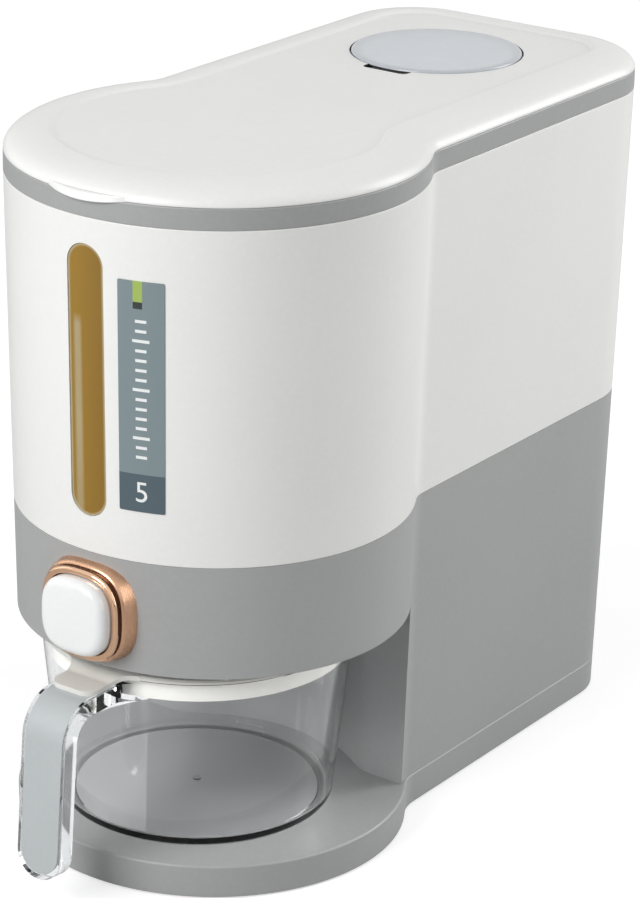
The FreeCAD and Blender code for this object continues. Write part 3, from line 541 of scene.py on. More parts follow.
@dataclass(frozen=True)
class FinishBook:
    """Every finish on the dispenser, made once."""

    made: dict[str, bpy.types.Material] = field(default_factory=dict)

    def recipes(self) -> list[object]:
        """List the finishes of the outer pieces and the inner ones.

        Returns:
            The finishes.
        """
        across = (1.0, 1.0, 0.04)
        return [
            Moulding("warm_white_plastic", (0.80, 0.80, 0.785), 0.36),
            Moulding("mid_grey_plastic", (0.365, 0.37, 0.37), 0.40, cloud=0.05),
            Moulding("rim_grey_plastic", (0.345, 0.35, 0.35), 0.36, cloud=0.05),
            Moulding("gloss_white_plastic", (0.84, 0.85, 0.85), 0.12, 2400.0, 0.000002, coat=0.6),
            Moulding("cream_plastic", (0.76, 0.75, 0.71), 0.32),
            Moulding("pale_grey_insert", (0.46, 0.49, 0.50), 0.34, cloud=0.05),
            Moulding("food_white_plastic", (0.74, 0.74, 0.72), 0.45),
            Moulding("inner_grey_plastic", (0.17, 0.175, 0.18), 0.48, cloud=0.08),
            Plating("rose_gold_step", (0.70, 0.42, 0.27), 0.25, across, 0.000003),
            Plating("rose_gold_ring", (0.88, 0.56, 0.37), 0.08, line_depth=0.000001),
            # Near-black copy of the rose gold: painted shade for the groove in the button frame.
            Plating("rose_gold_painted_shade", (0.10, 0.055, 0.035), 0.12),
            Plating("plain_steel", (0.56, 0.56, 0.57), 0.28, (1.0, 0.1, 1.0), 0.000006),
            ClearMoulding("clear_plastic", (0.985, 0.99, 0.995), ior=1.42, open_share=0.9),
            # Darker grey copy of the clear plastic for the handle: painted shade for its dark
            # refracting edges.
            ClearMoulding("clear_grip_painted_shade", (0.80, 0.82, 0.83), ior=1.34, open_share=0.7),
            ClearMoulding("frosted_cap_plastic", (0.79, 0.835, 0.885), 0.40, 0.18, 0.08),
            # Near-black painted shadow for gaps and recesses.
            Moulding("painted_shadow_plastic", (0.02, 0.021, 0.022), 0.5),
            AmberWindow(),
            Film("label_blue_grey", (0.195, 0.25, 0.268)),
            Film("label_green", (0.34, 0.46, 0.10)),
            Film("label_slate", (0.075, 0.11, 0.13)),
            Film("label_dark", (0.03, 0.035, 0.035)),
            Film("label_white", (0.80, 0.82, 0.82)),
            Soft("black_rubber", (0.022, 0.022, 0.022)),
            Soft("pale_silicone", (0.62, 0.62, 0.60), 0.5),
        ]

    def fill(self) -> None:
        """Make every finish."""
        for recipe in self.recipes():
            self.made[recipe.name] = recipe.make()

    def __getitem__(self, name: str) -> bpy.types.Material:
        """Give a finish by name."""
        return self.made[name]


# ---- shaping ------------------------------------------------------------------------------
class Pen:
    """Draws a closed line by turning and pulling one vertex."""

    def __init__(self, bm: Mesh, start: Sequence[float], axis: Vector = UP) -> None:
        """Set the pen down.

        Args:
            bm: Mesh to draw in.
            start: First point.
            axis: Axis that its turns go round.
        """
        self.bm = bm
        self.axis = axis
        self.first = self.tip = bm.verts.new(Vector(start))

    def turn(self, centre: Sequence[float], angle: float, steps: int) -> "Pen":
        """Draw an arc about a centre, positive turns counter-clockwise about the axis.

        Args:
            centre: A point on the axis of the arc.
            angle: Angle in radians.
            steps: Number of edges.

        Returns:
            This pen.
        """
        made = bmesh.ops.spin(
            self.bm, geom=[self.tip], cent=Vector(centre), axis=self.axis, angle=angle, steps=steps
        )
        self.tip = next(item for item in made["geom_last"] if isinstance(item, bmesh.types.BMVert))
        return self

    def pull(self, *points: Sequence[float]) -> "Pen":
        """Draw straight lines through points.

        Args:
            *points: Points to pass through.

        Returns:
            This pen.
        """
        for point in points:
            made = bmesh.ops.extrude_vert_indiv(self.bm, verts=[self.tip])
            self.tip = made["verts"][0]
            bmesh.ops.translate(self.bm, verts=[self.tip], vec=Vector(point) - self.tip.co)
        return self

    def close(self) -> Edges:
        """Join the end to the start.

        Returns:
            The edges of the closed line.
        """
        if (self.tip.co - self.first.co).length < 1e-6:
            bmesh.ops.weld_verts(self.bm, targetmap={self.tip: self.first})
        else:
            bmesh.ops.contextual_create(self.bm, geom=[self.tip, self.first])
        edges, at, came = [], self.first, None
        while True:
            free = (edge for edge in at.link_edges if edge is not came and edge not in edges[:1])
            onward = next(free)
            edges.append(onward)
            at, came = onward.other_vert(at), onward
            if at is self.first:
                return edges


def corners_of(loop: Edges) -> list[bmesh.types.BMVert]:
    """Vertices of a closed line whose edges are in order."""
    pairs = zip([loop[-1], *loop[:-1]], loop)
    return [next(spot for spot in edge.verts if spot in before.verts) for before, edge in pairs]


def skin(bm: Mesh, loops: Sequence[Edges], closed: bool = False) -> None:
    """Join each loop to the next, corner to corner, and the last to the first when closed.

    Args:
        bm: Mesh that holds the loops.
        loops: Closed lines with the same number of edges, each in order.
        closed: Whether the last is joined to the first.
    """
    rings = [corners_of(loop) for loop in loops]
    following = [*rings[1:], rings[0]] if closed else rings[1:]
    for loop, ring, goal in zip(loops, rings, following):
        made = bmesh.ops.extrude_edge_only(bm, edges=loop)
        fresh = {item for item in made["geom"] if isinstance(item, bmesh.types.BMVert)}
        drawn = [next(near for near in neighbours(spot) if near in fresh) for spot in ring]
        bmesh.ops.weld_verts(bm, targetmap=dict(zip(drawn, goal)))


def neighbours(spot: bmesh.types.BMVert) -> list[bmesh.types.BMVert]:
    """Vertices joined to one by an edge."""
    return [edge.other_vert(spot) for edge in spot.link_edges]


def outwards(bm: Mesh) -> Mesh:
    """Turn every face of a closed mesh outwards."""
    bmesh.ops.recalc_face_normals(bm, faces=bm.faces[:])
    return bm


def capped(bm: Mesh, loops: Sequence[Edges]) -> Mesh:
    """Join loops in their order and close both ends.

    Args:
        bm: Mesh to work on.
        loops: Closed lines with the same number of edges, in order.

    Returns:
        The same mesh.
    """
    skin(bm, loops)
    for loop in (loops[0], loops[-1]):
        bmesh.ops.contextual_create(bm, geom=loop)
    return outwards(bm)


def banded(bm: Mesh, loops: Sequence[Edges], rounds: Rounds, segments: int = 3) -> Mesh:
    """Join loops into a closed band and round some of its corners.

    Args:
        bm: Mesh that holds the loops.
        loops: Corners of the band's section, in order.
        rounds: Corners to round, as (index of the loop, radius).
        segments: Facets of each round.

    Returns:
        The same mesh.
    """
    skin(bm, loops, closed=True)
    outwards(bm)
    for index, radius in rounds:
        soften(bm, loops[index], radius, segments)
    return bm


def raised(bm: Mesh, loop: Edges, by: Vector) -> Mesh:
    """Turn a flat loop into a closed bar.

    Args:
        bm: Mesh that holds the loop alone.
        loop: Its edges.
        by: Length and direction of the bar.

    Returns:
        The same mesh.
    """
    bmesh.ops.contextual_create(bm, geom=loop)
    made = bmesh.ops.extrude_face_region(bm, geom=bm.faces[:], use_keep_orig=True)
    moved = [item for item in made["geom"] if isinstance(item, bmesh.types.BMVert)]
    bmesh.ops.translate(bm, verts=moved, vec=by)
    return outwards(bm)


def turned(profile: Pairs, centre_y: float, steps: int) -> Mesh:
    """Turn a profile a full round about an upright axis on the middle plane.

    Args:
        profile: Points as (radius, height), closed unless both ends are on the axis.
        centre_y: Place of the axis.
        steps: Facets round the axis.

    Returns:
        A closed mesh.
    """
    bm = bmesh.new()
    spots = [bm.verts.new((radius, centre_y, height)) for radius, height in profile]
    wire = [bm.edges.new(pair) for pair in zip(spots, spots[1:])]
    if profile[0][0] > 0.0:
        wire.append(bm.edges.new((spots[-1], spots[0])))
    around = {"cent": (0.0, centre_y, 0.0), "axis": UP, "angle": math.tau, "use_merge": True}
    bmesh.ops.spin(bm, geom=spots + wire, steps=steps, **around)
    bmesh.ops.remove_doubles(bm, verts=bm.verts[:], dist=1e-7)
    return outwards(bm)


def post(radius: float, centre_y: float, low: float, high: float, steps: int = 96) -> Mesh:
    """Closed upright cylinder between two heights, on the middle plane.

    Args:
        radius: Its radius.
        centre_y: Place of its axis.
        low: Lower height.
        high: Upper height.
        steps: Facets round the axis.

    Returns:
        The closed mesh.
    """
    bm = bmesh.new()
    place = Matrix.Translation((0.0, centre_y, (low + high) / 2))
    size = {"radius1": radius, "radius2": radius, "depth": high - low}
    bmesh.ops.create_cone(bm, cap_ends=True, segments=steps, matrix=place, **size)
    return bm


def block(low: Sequence[float], high: Sequence[float]) -> Mesh:
    """Closed box between two corners.

    Args:
        low: Lowest corner.
        high: Highest corner.

    Returns:
        The closed mesh.
    """
    bm = bmesh.new()
    size = Vector(high) - Vector(low)
    place = Matrix.Translation((Vector(low) + Vector(high)) / 2) @ Matrix.Diagonal((*size, 1.0))
    bmesh.ops.create_cube(bm, size=1.0, matrix=place)
    return bm


def mesh_of(bm: Mesh, name: str) -> bpy.types.Mesh:
    """Write a bmesh to a new mesh and free it.

    Args:
        bm: Mesh to write; it is freed.
        name: Name of the new data.

    Returns:
        The new mesh.
    """
    mesh = bpy.data.meshes.new(name)
    bm.to_mesh(mesh)
    bm.free()
    return mesh


def combined(first: Mesh, how: Join, second: Mesh) -> Mesh:
    """Combine two closed meshes.

    Args:
        first: Mesh that is kept, added to or cut.
        how: What is done with the second.
        second: The other mesh.

    Returns:
        A new mesh; both arguments are freed.
    """
    objects = []
    for bm, name in ((first, "work_kept"), (second, "work_tool")):
        objects.append(shown(name, mesh_of(bm, name)))
    kept, tool = objects
    modifier = kept.modifiers.new("combine", "BOOLEAN")
    modifier.operation = how.value
    modifier.solver = "EXACT"
    modifier.object = tool
    seen = kept.evaluated_get(bpy.context.evaluated_depsgraph_get())
    result = bmesh.new()
    result.from_mesh(seen.data)
    for thing in objects:
        mesh = thing.data
        bpy.data.objects.remove(thing)
        bpy.data.meshes.remove(mesh)
    bmesh.ops.remove_doubles(result, verts=result.verts[:], dist=2e-7)
    return result


def creases(bm: Mesh, test: Test, least: float = 25.0) -> Edges:
    """Edges whose faces meet at more than an angle and whose two ends pass a test.

    Args:
        bm: Mesh to look in.
        test: Test of a point.
        least: Smallest angle in degrees.

    Returns:
        The edges found.
    """
    limit = math.radians(least)
    return [
        edge
        for edge in bm.edges
        if len(edge.link_faces) == 2
        and edge.calc_face_angle(0.0) > limit
        and all(test(vertex.co) for vertex in edge.verts)
    ]


def soften(bm: Mesh, edges: Edges, width: float, segments: int = 3) -> None:
    """Round edges over.

    Args:
        bm: Mesh to work on.
        edges: Edges to round.
        width: Size of the round.
        segments: Facets of the round.
    """
    if edges:
        bmesh.ops.bevel(
            bm,
            geom=edges,
            offset=width,
            offset_type="OFFSET",
            segments=segments,
            profile=0.5,
            affect="EDGES",
            material=-1,
            clamp_overlap=True,
        )


def soften_where(
    bm: Mesh, test: Test, width: float, segments: int = 3, least: float = 50.0
) -> None:
    """Round the edges over that meet at more than an angle and pass a test.

    Args:
        bm: Mesh to work on.
        test: Test that both ends of an edge have to pass.
        width: Size of the round.
        segments: Facets of the round.
        least: Smallest angle in degrees.
    """
    soften(bm, creases(bm, test, least), width, segments)


def paint(bm: Mesh, test: Test) -> None:
    """Give the second finish to the faces whose middle passes a test.

    Args:
        bm: Mesh to work on.
        test: Test of the middle of a face.
    """
    for face in bm.faces:
        if test(face.calc_center_median()):
            face.material_index = SECOND_FINISH


@dataclass(frozen=True)
class Piece:
    """A new piece: its name, the body it rides on, its slot and the nodes it stands for."""

    name: str
    body: Body
    slot: str
    finish: str
    stands_for: tuple[str, ...] = ()
    smooth_below: float = math.radians(32.0)

    def settle(self, bm: Mesh, book: FinishBook, *more: str) -> Thing:
        """Turn a mesh into the finished piece.

        Args:
            bm: Closed mesh in its place; it is freed.
            book: Finishes.
            *more: Names of further finishes, for faces with material indexes 1 and up.

        Returns:
            The piece's object.
        """
        bmesh.ops.remove_doubles(bm, verts=bm.verts[:], dist=2e-7)
        bmesh.ops.dissolve_degenerate(bm, edges=bm.edges[:], dist=2e-7)
        mesh = mesh_of(outwards(bm), self.name)
        mesh.shade_smooth()
        mesh.set_sharp_from_angle(angle=self.smooth_below)
        thing = shown(self.name, mesh)
        for name in (self.finish, *more):
            mesh.materials.append(book[name])
        weighted = thing.modifiers.new("even_normals", "WEIGHTED_NORMAL")
        weighted.keep_sharp = True
        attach(thing, self.body.value)
        if self.stands_for:
            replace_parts(thing, *self.stands_for)
        log.info("%s: %d faces on %s", self.name, len(mesh.polygons), self.body.value)
        return thing


@dataclass(frozen=True)
class BodyPlan:
    """Keyhole plan of the dispenser at any height, and its bay."""

    front_radius: float = 92.0 * MM
    rear_reach: float = 248.0 * MM
    neck_fillet: float = 17.0 * MM
    rear_corner: float = 41.0 * MM
    half_width: float = 77.5 * MM
    draft: float = 0.0195
    bay_radius: float = 76.0 * MM
    bay_centre: float = -12.0 * MM
    shoulder: float = 45.0 * MM
    shoulder_round: float = 25.0 * MM
    beyond: float = 1.0 * MM
    support: float = 1.5 * MM
    front_steps: int = 128
    neck_steps: int = 14
    corner_steps: int = 20
    bay_steps: int = 44
    shoulder_steps: int = 18

    @cached_property
    def axis_y(self) -> float:
        """Place of the round front's axis."""
        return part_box("rim_band")[1].y - self.rear_reach

    @cached_property
    def rim(self) -> float:
        """Height above which the walls are upright."""
        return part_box("upper_container")[1].z

    def radius_at(self, height: float) -> float:
        """Radius of the round front at a height."""
        return self.front_radius - self.draft * max(0.0, self.rim - height)

    def loop(self, bm: Mesh, height: float, inset: float = 0.0, bulge: float = 0.0) -> Edges:
        """Draw the keyhole line at a height.

        Args:
            bm: Mesh to draw in.
            height: Height of the line.
            inset: Distance inwards from the outer wall.
            bulge: How far the round front stands out further.

        Returns:
            The edges of the line.
        """
        shrink = inset + self.draft * max(0.0, self.rim - height)
        radius = self.front_radius - shrink + bulge
        half = self.half_width - shrink
        neck = self.neck_fillet + shrink
        corner = self.rear_corner - shrink
        rear = self.axis_y + self.rear_reach - shrink
        neck_x = half + neck
        rise = math.sqrt((radius + neck) ** 2 - neck_x**2)
        neck_y = self.axis_y + rise
        meet = math.atan2(rise, neck_x)
        side = rear - corner
        step = self.support
        pen = Pen(bm, (-radius * math.cos(meet), self.axis_y + radius * math.sin(meet), height))
        pen.turn((0.0, self.axis_y, height), math.pi + 2.0 * meet, self.front_steps)
        pen.turn((neck_x, neck_y, height), -meet, self.neck_steps)
        pen.pull((half, neck_y + step, height), (half, side - step, height), (half, side, height))
        pen.turn((half - corner, side, height), math.pi / 2.0, self.corner_steps)
        inner = half - corner
        pen.pull((inner - step, rear, height), (step - inner, rear, height), (-inner, rear, height))
        pen.turn((-inner, side, height), math.pi / 2.0, self.corner_steps)
        pen.pull((-half, side - step, height), (-half, neck_y + step, height))
        pen.pull((-half, neck_y, height))
        pen.turn((-neck_x, neck_y, height), -meet, self.neck_steps)
        return pen.close()

    def stack(self, bm: Mesh, stations: Pairs, bulge: float = 0.0) -> list[Edges]:
        """Draw the keyhole line at each (height, inset)."""
        return [self.loop(bm, height, inset, bulge) for height, inset in stations]

    def solid(self, low: float, high: float, inset: float = 0.0, bulge: float = 0.0) -> Mesh:
        """Closed keyhole block between two heights."""
        bm = bmesh.new()
        return capped(bm, self.stack(bm, ((low, inset), (high, inset)), bulge))

    def tube(self, stations: Pairs, rounds: Rounds = ()) -> Mesh:
        """Closed band that follows the plan.

        Args:
            stations: Corners of its section as (height, inset), in order.
            rounds: Corners to round, as (index of the station, radius).

        Returns:
            The closed mesh.
        """
        bm = bmesh.new()
        return banded(bm, self.stack(bm, stations), rounds)

    def bay(self, low: float, high: float, grow: float = 0.0) -> Mesh:
        """Closed block of the room in front of the column, widened by grow.

        Args:
            low: Lower height.
            high: Upper height.
            grow: How much wider it is on every side.

        Returns:
            The closed mesh.
        """
        radius = self.bay_radius + grow
        fillet = self.shoulder_round - grow
        rise = self.shoulder + grow + fillet - self.bay_centre
        centre_x = math.sqrt((radius + fillet) ** 2 - rise**2)
        lean = math.atan2(rise, centre_x)
        side = self.front_radius + self.beyond
        front = self.axis_y - side
        flat = self.axis_y + self.shoulder + grow
        cup_y = self.axis_y + self.bay_centre
        bm = bmesh.new()
        pen = Pen(bm, (-side, front, low))
        pen.pull((side, front, low), (side, flat, low), (centre_x, flat, low))
        bend = lean - math.pi / 2.0
        pen.turn((centre_x, flat + fillet, low), bend, self.shoulder_steps)
        pen.turn((0.0, cup_y, low), math.pi - 2.0 * lean, self.bay_steps)
        pen.turn((-centre_x, flat + fillet, low), bend, self.shoulder_steps)
        pen.pull((-side, flat, low))
        return raised(bm, pen.close(), UP * (high - low))


@dataclass(frozen=True)
class SoftSquare:
    """Soft square outline round the button axis; reach is measured forwards from the front axis."""

    plan: BodyPlan
    power: float = 2.8
    steps: int = 96

    @cached_property
    def height(self) -> float:
        """Height of the button axis."""
        low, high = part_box("button_cap")
        return (low.z + high.z) / 2.0

    def loop(self, bm: Mesh, reach: float, half: float) -> Edges:
        """Draw the soft square.

        Args:
            bm: Mesh to draw in.
            reach: Place along the button axis.
            half: Half of its width.

        Returns:
            The edges of the line.
        """
        centre = Vector((0.0, self.plan.axis_y - reach, self.height))
        place = Matrix.Translation(centre) @ Matrix.Rotation(math.pi / 2.0, 4, "X")
        spots = bmesh.ops.create_circle(bm, segments=self.steps, radius=1.0, matrix=place)["verts"]
        for spot in spots:
            across, up = spot.co.x, spot.co.z - centre.z
            spot.co.x = half * math.copysign(abs(across) ** (2.0 / self.power), across)
            spot.co.z = centre.z + half * math.copysign(abs(up) ** (2.0 / self.power), up)
        pairs = zip(spots, [*spots[1:], spots[0]])
        return [
            next(edge for edge in one.link_edges if edge.other_vert(one) is two)
            for one, two in pairs
        ]

    def stack(self, bm: Mesh, stations: Pairs) -> list[Edges]:
        """Draw the soft square at each (reach, half)."""
        return [self.loop(bm, reach, half) for reach, half in stations]

    def tube(self, stations: Pairs, rounds: Rounds = ()) -> Mesh:
        """Closed soft square ring whose section has these (reach, half) corners."""
        bm = bmesh.new()
        return banded(bm, self.stack(bm, stations), rounds, 4)

    def bar(self, half: float, front: float, back: float) -> Mesh:
        """Closed soft square bar between two reaches."""
        bm = bmesh.new()
        return capped(bm, self.stack(bm, ((front, half), (back, half))))


@dataclass(frozen=True)
class Assembly:
    """Pieces that follow the plan of the body and take their finishes from the book."""

    plan: BodyPlan
    book: FinishBook

    def away(self, spot: Vector) -> float:
        """Distance of a point from the axis of the round front."""
        return away_from(self.plan.axis_y, spot)


# ---- base and lower body ------------------------------------------------------------------
@dataclass(frozen=True)
class Base(Assembly):
    """Tray under the whole body."""

    wall: float = 2.5 * MM
    bulge: float = 2.2 * MM
    top_round: float = 1.2 * MM
    toe_round: float = 0.5 * MM

    def tray(self) -> Thing:
        """Build the tray, open below.

        Returns:
            The piece's object.
        """
        low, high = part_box("base_tray")
        bm = bmesh.new()
        wall = self.wall
        stations = ((high.z - wall, wall), (low.z, wall), (low.z, 0.0), (high.z, 0.0))
        loops = self.plan.stack(bm, stations, self.bulge)
        toe, top = loops[2:]
        capped(bm, loops)
        soften(bm, top, self.top_round, 5)
        soften(bm, toe, self.toe_round)
        return Piece("base_tray_shell", Body.HOUSING, *GREY, ("base_tray",)).settle(bm, self.book)

    def build(self) -> list[Thing]:
        """Build the base."""
        return [self.tray()]


@dataclass(frozen=True)
class LowerBody(Assembly):
    """Grey shell: overhanging head, column and the bay in front of it."""

    square: SoftSquare
    wall: float = 2.5 * MM
    over: float = 1.0 * MM
    corner_round: float = 3.5 * MM
    seam_round: float = 0.45 * MM
    under_round: float = 0.9 * MM
    passage_half: float = 19.55 * MM
    passage: tuple[float, float] = (97.0 * MM, 66.0 * MM)
    ledge_inset: tuple[float, float] = (2.3 * MM, 6.5 * MM)
    ledge_drop: tuple[float, float] = (5.0 * MM, 3.0 * MM)
    corner_from: float = 60.0 * MM
    under_margin: float = 0.3 * MM
    seam_margin: float = 1.2 * MM
    rear_margin: float = 4.2 * MM

    def is_corner(self, spot: Vector) -> bool:
        """Tell whether a point is on the upright corners beside the bay."""
        shoulder = self.plan.axis_y + self.plan.shoulder
        return agree(spot.y, shoulder, NEAR) and abs(spot.x) > self.corner_from

    def is_outside(self, spot: Vector, height: float) -> bool:
        """Tell whether a point is on the round outer edge at a height."""
        edge = self.plan.radius_at(height) - self.under_margin
        return agree(spot.z, height) and self.away(spot) > edge

    def shell(self) -> Thing:
        """Build the shell with its bay, hollow, ledge and button passage.

        Returns:
            The piece's object.
        """
        low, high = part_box("lower_body")
        under, floor_top = (corner.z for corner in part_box("head_floor"))
        plan, over = self.plan, self.over
        bm = combined(plan.solid(low.z, high.z), Join.CUT, plan.bay(low.z - over, under))
        soften_where(bm, self.is_corner, self.corner_round, 7, 40.0)
        soften_where(bm, lambda spot: self.is_outside(spot, under), self.under_round, 4)
        hollow = plan.solid(low.z - over, high.z + over, self.wall)
        hollow = combined(hollow, Join.CUT, plan.bay(low.z - 2.0 * over, floor_top, self.wall))
        room = plan.solid(under - over, floor_top + over, self.wall)
        room = combined(room, Join.KEEP, plan.bay(under - over, floor_top + over))
        for tool in (hollow, room, self.square.bar(self.passage_half, *self.passage)):
            bm = combined(bm, Join.CUT, tool)
        for height in (low.z, high.z):
            soften_where(bm, lambda spot: self.is_seam(spot, height), self.seam_round, least=60.0)
        bm = combined(bm, Join.ADD, self.ledge(high.z))
        return Piece("lower_body_shell", Body.HOUSING, *GREY, ("lower_body",)).settle(bm, self.book)

    def is_seam(self, spot: Vector, height: float) -> bool:
        """Tell whether a point is on the outer edge of the seam under the container.

        Args:
            spot: Point to test.
            height: Height of the edge.

        Returns:
            True when it is.
        """
        plan, margin, beside = self.plan, self.seam_margin, abs(spot.x)
        shrink = plan.draft * (plan.rim - height)
        half, rear = plan.half_width - shrink, plan.axis_y + plan.rear_reach - shrink
        corner = Vector((half - plan.rear_corner, rear - plan.rear_corner))
        if spot.y > corner.y and beside > corner.x:
            away = (Vector((beside, spot.y)) - corner).length
            outside = away > plan.rear_corner - self.rear_margin
        else:
            round_front = plan.radius_at(height) - margin
            flat = beside > half - margin or spot.y > rear - margin
            outside = flat or self.away(spot) > round_front
        return outside and agree(spot.z, height)

    def ledge(self, seam: float) -> Mesh:
        """Ring inside the shell that carries the hopper.

        Args:
            seam: Height of the seam above it.

        Returns:
            The closed mesh.
        """
        near, far = self.ledge_inset
        low, high = (seam - drop for drop in self.ledge_drop)
        return self.plan.tube(((low, near), (high, near), (high, far), (low, far)))

    def build(self) -> list[Thing]:
        """Build the lower body."""
        return [self.shell()]


# ---- container ----------------------------------------------------------------------------
@dataclass(frozen=True)
class Container(Assembly):
    """White container with its window; its printed plate is built by PrintedPlate."""

    wall: float = 2.5 * MM
    seam_round: float = 0.45 * MM
    slot_round: float = 0.7 * MM
    lens_sink: float = 0.5 * MM
    lens_edge: float = 0.35 * MM
    lens_gap: float = 0.2 * MM
    seat: float = 3.1 * MM
    flange: float = 1.5 * MM
    flange_width: float = 4.0 * MM
    slot_reach: tuple[float, float] = (94.0 * MM, 60.0 * MM)
    slot_side: float = 15.0 * MM
    slot_steps: int = 36

    def window(self, grow: float) -> Mesh:
        """Bar along Y with the window's outline, widened by grow.

        Args:
            grow: How much wider it is on every side.

        Returns:
            The closed mesh.
        """
        low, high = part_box("window_lens")
        half = high.x - self.flange_width
        start, end = (self.plan.axis_y - reach for reach in self.slot_reach)
        bottom = low.z + self.flange_width + half
        top = high.z - self.flange_width - half
        bm = bmesh.new()
        pen = Pen(bm, (half + grow, start, bottom), BACKWARDS)
        pen.pull((half + grow, start, top))
        pen.turn((0.0, start, top), -math.pi, self.slot_steps)
        pen.pull((-half - grow, start, bottom))
        pen.turn((0.0, start, bottom), -math.pi, self.slot_steps)
        return raised(bm, pen.close(), BACKWARDS * (end - start))

    def on_slot(self, spot: Vector) -> bool:
        """Tell whether a point is on the outer edge of the window slot."""
        ahead = spot.y < self.plan.axis_y and abs(spot.x) < self.slot_side
        return ahead and self.depth_of(spot) < SLACK

    def shell(self) -> Thing:
        """Build the wall with rounded seams and a rounded window slot.

        Returns:
            The piece's object.
        """
        low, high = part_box("upper_container")
        section = ((low.z, 0.0), (high.z, 0.0), (high.z, self.wall), (low.z, self.wall))
        bm = self.plan.tube(section, ((0, self.seam_round), (1, self.seam_round)))
        bm = combined(bm, Join.CUT, self.window(0.0))
        soften_where(bm, self.on_slot, self.slot_round, 4)
        piece = Piece("container_shell", Body.HOUSING, *WHITE, ("upper_container",))
        return piece.settle(bm, self.book)

    def layer(self, outer: float, inner: float) -> Mesh:
        """Closed band between two insets, as tall as the container."""
        low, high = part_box("upper_container")
        return self.plan.tube(((low.z, outer), (high.z, outer), (high.z, inner), (low.z, inner)))

    def lens(self) -> Thing:
        """Build the window: a plug in the slot and a flange behind the wall.

        Returns:
            The piece's object.
        """
        back = self.seat + self.flange
        plug = combined(self.layer(self.lens_sink, back), Join.KEEP, self.window(-self.lens_gap))
        plug = self.front_half(plug)
        face = self.lens_sink + NEAR
        soften_where(plug, lambda spot: self.depth_of(spot) < face, self.lens_edge)
        flange = combined(self.layer(self.seat, back), Join.KEEP, self.window(self.flange_width))
        bm = combined(plug, Join.ADD, self.front_half(flange))
        piece = Piece("window_pane", Body.HOUSING, "amber_clear", "amber_window", ("window_lens",))
        return piece.settle(bm, self.book)

    def depth_of(self, spot: Vector) -> float:
        """Depth of a point inside the outer surface of the round front."""
        return self.plan.radius_at(spot.z) - self.away(spot)

    def front_half(self, bm: Mesh) -> Mesh:
        """Drop whatever lies behind the front axis.

        Args:
            bm: Mesh to cut down.

        Returns:
            The same mesh.
        """
        behind = [vertex for vertex in bm.verts if vertex.co.y > self.plan.axis_y]
        bmesh.ops.delete(bm, geom=behind, context="VERTS")
        return bm

    def build(self) -> list[Thing]:
        """Build the container."""
        return [self.shell(), self.lens()]


class Ink(Enum):
    """Inks of the printed plate, by their place in its finishes."""

    FIELD = 0
    STRIP = 1
    BLOCK = 2
    DARK = 3


